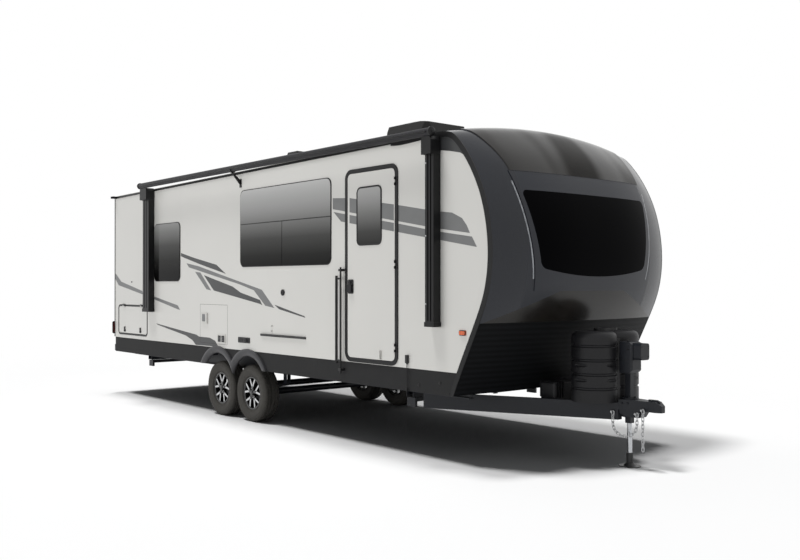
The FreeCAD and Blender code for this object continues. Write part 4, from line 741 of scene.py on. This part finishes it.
def trailer_screws():
    """Screws along the skirts and round the hatch and door frames."""
    bm = bmesh.new()
    first, pitch, count = SKIRT_SCREWS
    low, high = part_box("hatch_frames")
    hatch = (low.x + HATCH_INSET, high.x - HATCH_INSET, low.z + HATCH_INSET, low.z + 0.42)
    for side in (-1, 1):
        for i in range(count):
            x = first + pitch * i
            if ARCHES[0] < x < ARCHES[1]:
                continue
            for z in (SKIRT_LOW + SKIRT_INSET, SKIRT_HIGH - SKIRT_INSET):
                screw(bm, (x, side * SKIRT_FACE, z), (0, side, 0), SKIRT_SCREW)
        for x, z in ring_points(*hatch, 0.19):
            screw(bm, (x, side * (HALF + 3 * MM), z), (0, side, 0), FRAME_SCREW)
    low, high = DOOR_BOX
    door = (low.x + DOOR_INSET, high.x - DOOR_INSET, low.z + DOOR_INSET, high.z - DOOR_INSET)
    for x, z in ring_points(*door, 0.22):
        screw(bm, (x, -HALF - 10 * MM, z), (0, -1, 0), FRAME_SCREW)
    piece("trim_screws", bm, "trailer", TRIM)


def arm_screws():
    """Bright screws up the arms of the awning."""
    bm = bmesh.new()
    for x, z in ARM_SCREWS:
        screw(bm, (x, -ARM_FACE, z), (0, -1, 0), ARM_SCREW)
    piece("arm_screws", bm, "trailer", ZINC)


# How far the rail along the cloth's loose edge stays inside the ends of the roll.
RAIL_INSET = 30 * MM


def awning_ends():
    """End caps of the awning's roll and the rail along its loose edge."""
    bm = bmesh.new()
    low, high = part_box("awning_roller")
    middle = (low + high) / 2
    r = (high.z - low.z) / 2 / MM
    cap = ((0, -3), (r + 5, -3), (r + 6, -1), (r + 6, 12), (r - 2, 17), (14, 19), (12, 26), (0, 27))
    for x, way in ((low.x, -1), (high.x, 1)):
        turned(bm, cap, (x, middle.y, middle.z), (way, 0, 0), 32)
    rail = ((-r - 1, 6), (-r - 7, 4), (-r - 8, -8), (-r + 1, -12))
    points = [(low.x + RAIL_INSET, middle.y + u * MM, middle.z + v * MM) for u, v in rail]
    slab_of(bm, points, (high.x - low.x - 2 * RAIL_INSET, 0, 0))
    piece("awning_ends", bm, "trailer", TRIM)


# Outer and inner edges of the lamps' rims: X, Z and corner of the side lamps, and Y, Z and corner of the
# tail lamps, whose housings and rims stand out by some depth from two values of X.
SIDE_RIM = ((3.0715, 3.1535, 1.1515, 1.1985, 12 * MM), (3.0785, 3.1465, 1.1585, 1.1915, 9 * MM))
TAIL_RIM = ((1.1295, 1.2505, 0.8695, 1.0505, 22 * MM), (1.1425, 1.2375, 0.8845, 1.0355, 15 * MM))
TAIL_RINGS = ((-4.2101, 7 * MM), (-4.2, 10 * MM))


def lamp_bezels():
    """Black rims of the marker lamps and the tail lamps' housings."""
    bm = bmesh.new()
    for side in (-1, 1):
        y = side * (HALF + 6 * MM)
        outer, inner = ([(x, y, z) for x, z in rounded(*edge)] for edge in SIDE_RIM)
        ring_of(bm, outer, inner, (0, side * 3 * MM, 0))
        for x, depth in TAIL_RINGS:
            outer, inner = ([(x, side * y, z) for y, z in rounded(*edge)] for edge in TAIL_RIM)
            ring_of(bm, outer, inner, (-depth, 0, 0))
    piece("lamp_bezels", bm, "trailer", PLASTIC)


# Storage hatches: their outer face, the places of their thumb latches, and the round knob in mm.
HATCH_FACE = HALF + 1 * MM
LATCH_X = (-3.8365, -3.3185)
LATCH_Z = 0.929
LATCH_KNOB = ((0, 0), (11.5, 0), (11.5, 6), (9, 7.5), (3, 7.5), (2, 6), (0, 6))


def hatch_latches(name, side, body):
    """Black thumb latches over the two plain ones at the foot of a storage hatch."""
    bm = bmesh.new()
    for x in LATCH_X:
        side_plate(bm, centred(x, LATCH_Z, 24.5 * MM, 17.5 * MM, 12 * MM), HATCH_FACE, 8.5 * MM, side)
        side_plate(bm, centred(x, LATCH_Z + 21 * MM, 14 * MM, 35 * MM, 8 * MM), HATCH_FACE, 12 * MM, side)
        turned(bm, LATCH_KNOB, (x, side * (HATCH_FACE + 8 * MM), LATCH_Z), (0, side, 0), 24)
    piece(name, bm, body, PLASTIC)


# Door side covers. Flaps: X and Z edges, corner, stand beyond the wall and thickness in mm, and material.
# Then the outlet slots, and turned parts in mm with their place, axis and steps: a socket, a round grille,
# the rod that holds the open door, and plugs in the skirt.
FLAPS = (
    (-1.500, -1.425, 1.132, 1.222, 8, 19, 1.5, 0), (-1.116, -1.048, 0.897, 0.973, 6, 12, 1.5, 1),
    (-1.030, -0.962, 0.897, 0.973, 6, 12, 1.5, 1), (-0.630, -0.530, 0.925, 0.960, 5, 12, 2.0, 1),
)
OUTLET_X = (-1.082, -0.996)
OUTLET_Z = (0.918, 0.935, 0.952)
COVER_SCREWS = ((0.077, 1.073), (0.077, 1.128))
SOCKET = ((0, 0), (26, 0), (26, 7), (22, 9), (20, 6), (8, 6), (7, 8), (0, 8))
GRILLE = (
    (0, 0), (33, 0), (33, 1.5), (29, 3), (27, 1.8), (20, 1.8), (19, 3), (16, 3), (15, 1.8), (8, 1.8), (7, 3),
    (0, 3.2),
)
ROD = ((0, -2), (9, -2), (9, 10), (4, 14), (4, 232), (10, 236), (10, 262), (0, 264))
PLUG = ((0, 0), (15, 0), (15, 2), (11, 5), (4, 5.5), (0, 5.5))
TURNED_PARTS = (
    (SOCKET, (-0.455, -HALF - 12 * MM, 0.9425), (0, -1, 0), 28),
    (GRILLE, (0.300, -HALF - 9 * MM, 1.502), (0, -1, 0), 28),
    (ROD, (2.392, -HALF - 14 * MM, 0.872), (0, 0, -1), 16),
    (PLUG, (2.54, -SKIRT_FACE, 0.679), (0, -1, 0), 20),
    (PLUG, (2.82, -SKIRT_FACE, 0.720), (0, -1, 0), 20),
)


def fitting_faces():
    """Flaps, sockets, slots and a door holder on the covers of the door side."""
    bm = bmesh.new()
    for x0, x1, z0, z1, corner, stand, thickness, material in FLAPS:
        side_plate(bm, rounded(x0, x1, z0, z1, corner * MM), HALF + stand * MM, thickness * MM, -1, material)
    for x in OUTLET_X:
        for z in OUTLET_Z:
            slot = oblong(x - 22 * MM, x + 22 * MM, z - 2 * MM, z + 2 * MM)
            side_plate(bm, slot, HALF + 13.5 * MM, 1.2 * MM, -1)
    for x, z in COVER_SCREWS:
        screw(bm, (x, -HALF - 8 * MM, z), (0, -1, 0), 6 * MM)
    for profile, place, axis, steps in TURNED_PARTS:
        turned(bm, profile, place, axis, steps, 1)
    piece("fitting_faces", bm, "trailer", GREY_PLASTIC, TRIM)


# Wheel arches: their radius, the X and Z of their centres, and the steps of one arch.
ARCH_RADIUS = 0.428
ARCH_CENTRES = (-0.434, -1.137)
ARCH_HEIGHT = 0.375
ARCH_STEPS = 28
# The flare's closed section as radial distance beyond the arch and stand beyond the wall, in mm.
FLARE = (
    (41, 0.2), (41, 14), (34, 22), (18, 26), (0, 25), (-20, 20), (-36, 10), (-44, -4), (-44, -24),
    (-39, -24), (-39, -5), (-31, 6), (-16, 14), (-1, 18),
)


def arch_flares():
    """Broad rounded flares that hang inside the two round arches and meet between the wheels."""
    bm = bmesh.new()
    front, rear = ARCH_CENTRES
    for side in (-1, 1):
        rows = []
        for beyond, stand in FLARE:
            radius = ARCH_RADIUS + beyond * MM
            start = math.asin((SKIRT_LOW - ARCH_HEIGHT) / radius)
            end = math.pi - math.acos((front - rear) / 2 / radius)
            turns = [start + (end - start) * i / ARCH_STEPS for i in range(ARCH_STEPS + 1)]
            line = [(front + radius * math.cos(t), ARCH_HEIGHT + radius * math.sin(t)) for t in turns]
            line += [(rear - radius * math.cos(t), ARCH_HEIGHT + radius * math.sin(t)) for t in turns[-2::-1]]
            rows.append([bm.verts.new((x, side * (HALF + stand * MM), z)) for x, z in line])
        skin(bm, rows, around=False)
        for end in (0, -1):
            bm.faces.new([row[end] for row in rows])
    piece("arch_flares", bm, "trailer", ARCH_PLASTIC, smooth=45)


# Rear wall: its face, the corner mouldings' ends, flange and thickness, their screws' first height, pitch
# and count, and the clearance lamps and the number plate as Y and Z.
REAR_FACE = -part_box("wall_rear")[0].x
CORNER_LOW, CORNER_HIGH = 0.83, 2.865
CORNER_FLANGE = 22 * MM
CORNER_THICKNESS = 2.5 * MM
CORNER_SCREWS = (0.08, 0.235, 9)
CLEARANCE_LAMPS = ((-1.05, 2.80), (-0.22, 2.865), (0.0, 2.865), (0.22, 2.865), (1.05, 2.80))
PLATE_PLACE = (0.78, 1.02)


def rear_plate(bm, outline, stand, thickness, material=0):
    """A thin flat plate on the rear wall from Y and Z points, with its stand and thickness in mm."""
    slab_of(bm, [(-REAR_FACE - stand * MM, y, z) for y, z in outline], (-thickness * MM, 0, 0), material)


def rear_trim():
    """Black corner mouldings with their screws, clearance lamps, and a blank number plate with its lamp."""
    bm = bmesh.new()
    first, pitch, count = CORNER_SCREWS
    for side in (-1, 1):
        back = -REAR_FACE - CORNER_THICKNESS
        flank = rounded(back, -REAR_FACE + CORNER_FLANGE, CORNER_LOW, CORNER_HIGH, 2 * MM, 2)
        side_plate(bm, flank, HALF, CORNER_THICKNESS, side)
        y0, y1 = sorted((side * HALF, side * (HALF - CORNER_FLANGE)))
        rear_plate(bm, rounded(y0, y1, CORNER_LOW, CORNER_HIGH, 2 * MM, 2), 0, CORNER_THICKNESS / MM)
        for i in range(count):
            z = CORNER_LOW + first + pitch * i
            screw(bm, (-REAR_FACE + 12 * MM, side * (HALF + CORNER_THICKNESS), z), (0, side, 0), FRAME_SCREW)
    for y, z in CLEARANCE_LAMPS:
        rear_plate(bm, centred(y, z, 50 * MM, 17 * MM, 12 * MM), 0, 5)
        rear_plate(bm, centred(y, z, 44 * MM, 12 * MM, 9 * MM), 5, 9, 1)
    y, z = PLATE_PLACE
    rear_plate(bm, centred(y, z, 160 * MM, 84 * MM, 10 * MM), 0, 4)
    rear_plate(bm, centred(y, z, 152.5 * MM, 76.2 * MM, 8 * MM), 4, 1.5, 2)
    rear_plate(bm, centred(y, z + 107 * MM, 45 * MM, 15 * MM, 8 * MM), 0, 28)
    for across in (-90 * MM, 90 * MM):
        for up in (-55 * MM, 55 * MM):
            screw(bm, (-REAR_FACE - 5.5 * MM, y + across, z + up), (-1, 0, 0), 4 * MM)
    piece("rear_trim", bm, "trailer", TRIM, RED_LENS, SEALANT)


arch_flares()
rear_trim()
seams()
trailer_screws()
arm_screws()
awning_ends()
lamp_bezels()
fitting_faces()
hatch_latches("latches_right", -1, "hatch_right")
hatch_latches("latches_left", 1, "hatch_left")


# Rims in mm: a prong's two points near the hub, the angles of its tips and their reach. Then how deep the
# rim's face lies in the tyre, the circle of the nuts, the centre cap, and the valve with its place.
SPOKES = 5
PRONG = ((3.0, 92.0), (16.5, 71.0))
PRONG_TIPS = tuple(math.radians(angle) for angle in (21.4, 14.6))
PRONG_REACH = 168.0
DISH = 28 * MM
NUT_CIRCLE = 57 * MM
CENTRE_CAP = (
    (0, 0), (31.5, 0), (31.5, 11), (29, 13.5), (27, 12.5), (22, 12.5), (21.5, 14.5), (12, 17), (0, 18),
)
VALVE = ((0, -8), (5, -8), (5, 4), (3.5, 6), (3.5, 16), (4.2, 17), (4.2, 24), (0, 25))
VALVE_PLACE = (0.098, -0.004, 0.135)


def wheel_details(corner):
    """Bright turned faces on the split spokes, with wheel nuts and a black centre cap."""
    low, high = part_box(f"tyre_{corner}")
    middle = (low + high) / 2
    way = 1 if corner.endswith("left") else -1
    face = abs(high.y if way > 0 else low.y) - DISH
    bm = bmesh.new()
    tips = [(PRONG_REACH * math.sin(angle), PRONG_REACH * math.cos(angle)) for angle in PRONG_TIPS]
    for spoke in range(SPOKES):
        turn = 2 * math.pi * spoke / SPOKES
        for mirror in (1, -1):
            points = []
            for u, v in list(PRONG) + tips:
                u *= mirror
                x = u * math.cos(turn) + v * math.sin(turn)
                z = v * math.cos(turn) - u * math.sin(turn)
                points.append((middle.x + x * MM, middle.z + z * MM))
            side_plate(bm, points, face + 0.1 * MM, 0.9 * MM, way)
        nut = (middle.x + NUT_CIRCLE * math.sin(turn), way * face, middle.z + NUT_CIRCLE * math.cos(turn))
        hex_head(bm, nut, (0, way, 0), 8 * MM, 15 * MM, 1)
    turned(bm, CENTRE_CAP, (middle.x, way * face, middle.z), (0, way, 0), 40, 2)
    along, out, up = VALVE_PLACE
    turned(bm, VALVE, (middle.x + along, way * (face + out), middle.z + up), (0, way, 0), 12, 2)
    piece(f"spoke_faces_{corner}", bm, f"wheel_{corner}", MACHINED, ZINC, ALLOY)


for corner in CORNERS:
    wheel_details(corner)


# Safety chain links, set where the plain links of the solid lie, and the bolts that hold the chains.
LINK_PATH_STEPS = 28
LINK_RING_STEPS = 10
LINK_WIRE = 4 * MM
LINK_HALF_LENGTH = 20.5 * MM
LINK_HALF_WIDTH = 11.5 * MM
CHAIN_BOLT = 4.5 * MM
CHAIN_HEAD = 6 * MM


def islands(mesh):
    """The vertices of each separate part of a mesh."""
    bm = bmesh.new()
    bm.from_mesh(mesh)
    bmesh.ops.remove_doubles(bm, verts=bm.verts[:], dist=0.01 * MM)
    seen = set()
    parts = []
    for start in bm.verts:
        if start in seen:
            continue
        seen.add(start)
        part, waiting = [], [start]
        while waiting:
            vert = waiting.pop()
            part.append(vert.co.copy())
            for edge in vert.link_edges:
                other = edge.other_vert(vert)
                if other not in seen:
                    seen.add(other)
                    waiting.append(other)
        parts.append(part)
    bm.free()
    return parts


def main_axes(points):
    """The centre of some points, and the directions in which they spread most and least."""
    centre = sum(points, Vector()) / len(points)
    spread_of = Matrix(((0, 0, 0), (0, 0, 0), (0, 0, 0)))
    for point in points:
        d = point - centre
        for i in range(3):
            for j in range(3):
                spread_of[i][j] += d[i] * d[j]
    total = sum(spread_of[i][i] for i in range(3))
    rest = Matrix.Diagonal((total, total, total)) - spread_of
    axes = []
    for matrix in (spread_of, rest):
        axis = Vector((0.31, 0.52, 0.79))
        for _ in range(60):
            axis = (matrix @ axis).normalized()
        axes.append(axis)
    return centre, axes[0], axes[1]


def chain_bolt(bm, centre, out, reach):
    """A bolt through a chain's end, with its head outwards."""
    neck = reach - CHAIN_HEAD
    lathe(bm, [(0, -reach), (CHAIN_BOLT, -reach), (CHAIN_BOLT, neck), (0, neck)], centre, out, 16)
    hex_head(bm, centre + out * neck, out, 1.6 * CHAIN_BOLT, CHAIN_HEAD)


def chain_links():
    """Round-wire links with half-round ends, and the chains' bolts."""
    bm = bmesh.new()
    straight = LINK_HALF_LENGTH - LINK_HALF_WIDTH
    for points in islands(NODES["safety_chains"].data):
        centre, along, flat = main_axes(points)
        reach = max(abs((point - centre).dot(along)) for point in points)
        if max(abs((point - centre).dot(flat)) for point in points) > 1.5 * LINK_WIRE:
            chain_bolt(bm, centre, along if along.y < 0 else -along, reach)
            continue
        across = flat.cross(along).normalized()
        rings = []
        for i in range(LINK_PATH_STEPS):
            turn = 2 * math.pi * i / LINK_PATH_STEPS
            end = straight if math.cos(turn) > 0 else -straight
            out = along * math.cos(turn) + across * math.sin(turn)
            middle = centre + along * end + out * LINK_HALF_WIDTH
            rings.append(ring_at(bm, middle, out, flat, LINK_WIRE, LINK_RING_STEPS))
        skin(bm, rings)
    made = piece("chain_links", bm, "trailer", ZINC, smooth=60)
    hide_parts("safety_chains")


chain_links()


# Jack and coupler details: turned profiles in mm and their places.
HEAD_SCREWS_Y = (-0.045, 0.045)
HEAD_SCREWS_DROP = (0.125, 0.035)
CRANK_PLUG = ((0, -1), (20, -1), (20, 4), (17, 8), (9, 10), (0, 10))
SWITCH_BOOT = ((0, -1), (9, -1), (9, 3), (5, 5), (3.5, 14), (0, 15))
COUPLER_BOLTS = (3.935, 3.985)
LEVER = ((4.150, 0), (4.246, -0.004), (4.262, -0.016), (4.262, -0.022), (4.150, -0.018))
LEVER_HALF = 11 * MM
LEVER_PIN = ((0, -26), (4, -26), (4, 26), (0, 26))


def jack_details():
    """Screws, a plug over the crank hole and a switch on the jack's head."""
    bm = bmesh.new()
    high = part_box("jack_tube")[1]
    for y in HEAD_SCREWS_Y:
        for drop in HEAD_SCREWS_DROP:
            screw(bm, (high.x, y, high.z - drop), (1, 0, 0), 5 * MM)
    turned(bm, CRANK_PLUG, (3.945, 0, high.z), (0, 0, 1), 24)
    turned(bm, SWITCH_BOOT, (3.985, -0.075, high.z - 0.06), (0, -1, 0), 16)
    seam = rounded(3.888, 4.025, high.z - 0.152, high.z - 0.149, 1 * MM, 2)
    for side in (-1, 1):
        side_plate(bm, seam, 0.075, 1 * MM, side)
    piece("jack_details", bm, "trailer", PLASTIC)


def coupler_details():
    """Bolts through the coupler's tapering sides, its latch lever and the pin through it."""
    bm = bmesh.new()
    for side in (-1, 1):
        for x in COUPLER_BOLTS:
            hex_head(bm, (x, side * (0.1005 - 0.2033 * (x - 3.9)), 0.560), (0, side, 0), 9 * MM, 7 * MM)
    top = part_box("coupler")[1].z
    slab_of(bm, [(x, -LEVER_HALF, top + z) for x, z in LEVER], (0, 2 * LEVER_HALF, 0))
    turned(bm, LEVER_PIN, (4.185, 0, top - 8 * MM), (0, 1, 0), 12)
    piece("coupler_bolts", bm, "trailer", CHASSIS)


# Sealant beads: section as shares of half the width and of the height, the vent's place and half size, and
# how far the bead lies outside the air conditioner.
BEAD = ((-1, -0.2), (-0.7, 0.7), (0, 1), (0.7, 0.7), (1, -0.2))
BEAD_HEIGHT = 4 * MM
VENT_X = -1.19
VENT_HALF = 0.158
AIRCON_MARGIN = 8 * MM


def bead(bm, tree, points, width):
    """A low rounded bead along points in X and Y on the roof."""
    rows = []
    for i, (x, y) in enumerate(points):
        ahead, behind = points[(i + 1) % len(points)], points[i - 1]
        way = Vector((ahead[0] - behind[0], ahead[1] - behind[1])).normalized()
        row = []
        for share, rise in BEAD:
            px, py = x - way.y * share * width / 2, y + way.x * share * width / 2
            hit = tree.ray_cast(Vector((px, py, 4)), Vector((0, 0, -1)))[0]
            row.append(bm.verts.new((px, py, hit.z + rise * BEAD_HEIGHT)))
        rows.append(row)
    skin(bm, rows, around=False)


def roof_sealant():
    """Beads of sealant where the vent and the air conditioner meet the roof."""
    source = NODES["roof"].data
    faces = [tuple(face.vertices) for face in source.polygons]
    tree = BVHTree.FromPolygons([vert.co for vert in source.vertices], faces)
    bm = bmesh.new()
    bead(bm, tree, centred(VENT_X, 0, VENT_HALF, VENT_HALF, 20 * MM), 22 * MM)
    low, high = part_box("air_conditioner")
    edges = (low.x - AIRCON_MARGIN, high.x + AIRCON_MARGIN, low.y - AIRCON_MARGIN, high.y + AIRCON_MARGIN)
    bead(bm, tree, rounded(*edges, 90 * MM), 20 * MM)
    piece("roof_sealant", bm, "trailer", SEALANT, smooth=60)


# Air conditioner: its louvres' ends and heights, and the places of the shroud's screws as X and Z.
LOUVRE_X = (1.06, 1.44)
LOUVRE_Z = (3.062, 3.080, 3.098)
SHROUD_SCREWS = ((1.03, 3.084), (1.47, 3.084))


def aircon_details():
    """Side louvres and shroud screws of the air conditioner."""
    bm = bmesh.new()
    low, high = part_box("air_conditioner")
    half = (high.y - low.y) / 2
    for side in (-1, 1):
        for z in LOUVRE_Z:
            side_plate(bm, oblong(*LOUVRE_X, z, z + 7 * MM), half, 2.5 * MM, side)
        for x, z in SHROUD_SCREWS:
            screw(bm, (x, side * half, z), (0, side, 0), 6 * MM)
    piece("aircon_louvres", bm, "trailer", SEAL)


jack_details()
coupler_details()
roof_sealant()
aircon_details()


# Tyres with tread and sidewall rings, in place of the plain solids. Their profile in mm: the wall as inset
# from the side and rise above the bead, then the crown as inset, depth below the tread's radius, and kind.
TYRE_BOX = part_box("tyre_front_right")
TYRE_RADIUS = (TYRE_BOX[1].z - TYRE_BOX[0].z) / 2
TYRE_HALF = (TYRE_BOX[1].y - TYRE_BOX[0].y) / 2
BEAD_RADIUS = 0.178
TREAD_PITCHES = 62
TREAD_PHASES = (0.0, 0.09, 0.11, 0.31, 0.33, 0.44, 0.46, 0.57, 0.6, 0.63, 0.94, 0.97)
SIDEWALL = (
    (30, 0), (29, 16), (14, 24), (10.5, 27), (9.5, 34), (11.5, 36), (5, 58), (2, 75), (0.5, 88), (0, 90),
    (0, 96), (1.5, 98), (4, 112), (3.5, 114),
)
CROWN = (
    (8, 28, "wall"), (6.5, 25, "lug"), (12, 12, "lug"), (22, 4, "lug"), (36, 1.2, "lug"), (37.5, 1, "rib"),
    (38.5, 8, "groove"), (46.5, 8, "groove"), (47.5, 0.5, "sipe"), (68, 0, "sipe"), (68.5, 0, "rib"),
    (69.5, 8, "groove"), (77.5, 8, "groove"), (78.5, 0, "rib"), (80.5, 0, "centre"),
)
CENTRE_HALF = 4 * MM
# Cuts in each kind of tread: where they start and end as shares of a pitch, and their depth.
CUTS = {"lug": (0.62, 0.95, 6 * MM), "sipe": (0.1, 0.32, 5 * MM), "centre": (0.45, 0.58, 4 * MM)}


def tyre_profile():
    """Width, radius and kind of each profile point, from the inner bead round to the outer bead."""
    side = [(TYRE_HALF - inset * MM, BEAD_RADIUS + rise * MM, "wall") for inset, rise in SIDEWALL]
    side += [(TYRE_HALF - inset * MM, TYRE_RADIUS - depth * MM, kind) for inset, depth, kind in CROWN]
    other = [(-width, radius, kind) for width, radius, kind in reversed(side)]
    centre = [(width, TYRE_RADIUS, "centre") for width in (-CENTRE_HALF, CENTRE_HALF)]
    return other + centre + side[::-1]


def tread_drop(kind, phase):
    """How far a tread point sinks at this share of a tread pitch."""
    start, end, depth = CUTS.get(kind, (1.0, 1.0, 0.0))
    return depth if start < phase < end else 0.0


def make_tyre(corner):
    """A revolved tyre whose shoulder lugs and sipes repeat round the tread."""
    low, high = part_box(f"tyre_{corner}")
    centre = (low + high) / 2
    profile = tyre_profile()
    bm = bmesh.new()
    rings = []
    for pitch in range(TREAD_PITCHES):
        for phase in TREAD_PHASES:
            angle = 2 * math.pi * (pitch + phase) / TREAD_PITCHES
            ring = []
            for width, radius, kind in profile:
                at = radius - tread_drop(kind, phase)
                place = (centre.x + at * math.sin(angle), centre.y + width, centre.z + at * math.cos(angle))
                ring.append(bm.verts.new(place))
            rings.append(ring)
    skin(bm, rings)
    made = piece(f"tread_tyre_{corner}", bm, f"wheel_{corner}", RUBBER, smooth=35, slot="tyre")
    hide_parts(f"tyre_{corner}")


for corner in CORNERS:
    make_tyre(corner)


# Studio: pale floor and backdrop, soft lamps and the photograph's camera. The floor's half size, the half
# axes of the oval that shows the shadow, and the shares of them between which the floor turns white.
FLOOR_HALF = 60
FLOOR_LIT = (7.5, 4.5)
FLOOR_FADE = (0.8, 1.6)
WORLD_LIGHT = 0.12
CAMERA_PLACE = (8.7293, -6.7089, 1.5962)
CAMERA_YAW = 49.6107
CAMERA_PITCH = 0.2502
CAMERA_LENS = 40.987


def seen_rays(tree):
    """1 for rays from the camera, in a reflection or through glass, and 0 for light that is scattered."""
    rays = add(tree, "ShaderNodeLightPath").outputs
    mirrored = maths(tree, "MAXIMUM", rays["Is Glossy Ray"], rays["Is Transmission Ray"])
    return maths(tree, "MAXIMUM", rays["Is Camera Ray"], mirrored)


def linked(name, data):
    """A new object of the scene."""
    made = bpy.data.objects.new(name, data)
    bpy.context.scene.collection.objects.link(made)
    return made


def studio_floor():
    """A wide pale floor that catches the shadow and is white to the camera far from the caravan."""
    bm = bmesh.new()
    bmesh.ops.create_grid(bm, x_segments=2, y_segments=2, size=FLOOR_HALF)
    made = linked("studio_floor", mesh_from("studio_floor", bm))
    paint, tree, shader, place = surface("matt_studio_paint", "#F4F4F4", 0.95, specular=0.0)
    tint(tree, shader, speckle(tree, place, 4000), "#F3F3F3", "#F6F6F6")
    squares = []
    for axis, half in zip("XY", FLOOR_LIT):
        share = maths(tree, "DIVIDE", axes_of(tree, place)[axis], half)
        squares.append(maths(tree, "POWER", maths(tree, "ABSOLUTE", share), 2.0))
    reach = maths(tree, "SQRT", maths(tree, "ADD", *squares))
    far = spread(tree, reach, 0.0, 1.0, *FLOOR_FADE, "SMOOTHSTEP")
    white = maths(tree, "MULTIPLY", far, seen_rays(tree))
    glow = add(tree, "ShaderNodeEmission", {"Color": (1, 1, 1, 1), "Strength": 1.0})
    both = add(tree, "ShaderNodeMixShader", {0: white, 1: shader.outputs["BSDF"], 2: glow.outputs[0]})
    tree.links.new(both.outputs[0], tree.nodes["Material Output"].inputs["Surface"])
    made.data.materials.append(paint)
    return made


def studio_world():
    """White to the camera and in reflections, soft grey light on everything else."""
    world = bpy.data.worlds.new("studio")
    bpy.context.scene.world = world
    world.use_nodes = True
    tree = world.node_tree
    tree.nodes.clear()
    white = add(tree, "ShaderNodeBackground", {"Color": (1, 1, 1, 1), "Strength": 1.0})
    soft = add(tree, "ShaderNodeBackground", {"Color": srgb("#F2F4F6"), "Strength": WORLD_LIGHT})
    mix = add(tree, "ShaderNodeMixShader", {0: seen_rays(tree), 1: soft.outputs[0], 2: white.outputs[0]})
    add(tree, "ShaderNodeOutputWorld", {"Surface": mix.outputs[0]})


def soft_lamp(name, place, target, size, power):
    """A wide soft box aimed at a point, kept off the floor so that the shadow there stays deep."""
    data = bpy.data.lights.new(name, "AREA")
    data.shape = "RECTANGLE"
    data.size, data.size_y = size
    data.energy = power
    lamp = linked(name, data)
    lamp.location = place
    lamp.rotation_euler = (Vector(target) - Vector(place)).to_track_quat("-Z", "Y").to_euler()
    lamp.visible_glossy = False
    lamp.light_linking.receiver_collection = OFF_FLOOR


def overhead_lamp(name, strength, spread_angle, tilt):
    """Even light from above, turned by a tilt about X and Y, soft at the edges of its shadow."""
    data = bpy.data.lights.new(name, "SUN")
    data.energy = strength
    data.angle = math.radians(spread_angle)
    lamp = linked(name, data)
    lamp.rotation_euler = (math.radians(tilt[0]), math.radians(tilt[1]), 0)
    lamp.visible_glossy = False


def photo_camera():
    """The camera found from the photograph's vanishing points."""
    data = bpy.data.cameras.new("photo_camera")
    data.sensor_width = 36
    data.lens = CAMERA_LENS
    data.clip_end = 300
    camera = linked("photo_camera", data)
    yaw, pitch = math.radians(CAMERA_YAW), math.radians(CAMERA_PITCH)
    forward = Vector((-math.sin(yaw) * math.cos(pitch), math.cos(yaw) * math.cos(pitch), math.sin(pitch)))
    camera.location = CAMERA_PLACE
    camera.rotation_euler = forward.to_track_quat("-Z", "Y").to_euler()
    bpy.context.scene.camera = camera


floor = studio_floor()
OFF_FLOOR = bpy.data.collections.new("off_floor")
OFF_FLOOR.objects.link(floor)
OFF_FLOOR.collection_objects[0].light_linking.link_state = "EXCLUDE"
studio_world()
photo_camera()
overhead_lamp("overhead", 1.3, 8, (-2, -4))
overhead_lamp("overhead_far", 1.85, 12, (14, -12))
soft_lamp("side_box", (-0.5, -13.0, 2.2), (-0.5, -1.2, 1.7), (9.0, 2.5), 530)
soft_lamp("far_box", (-0.5, 13.0, 2.2), (-0.5, 1.2, 1.7), (9.0, 2.5), 530)
soft_lamp("front_box", (14.0, -1.0, 2.4), (3.0, 0.0, 1.7), (5.0, 2.5), 20)
soft_lamp("rear_box", (-14.0, 0.0, 2.4), (-4.0, 0.0, 1.7), (5.0, 2.5), 160)
bpy.context.scene.view_settings.view_transform = "Standard"
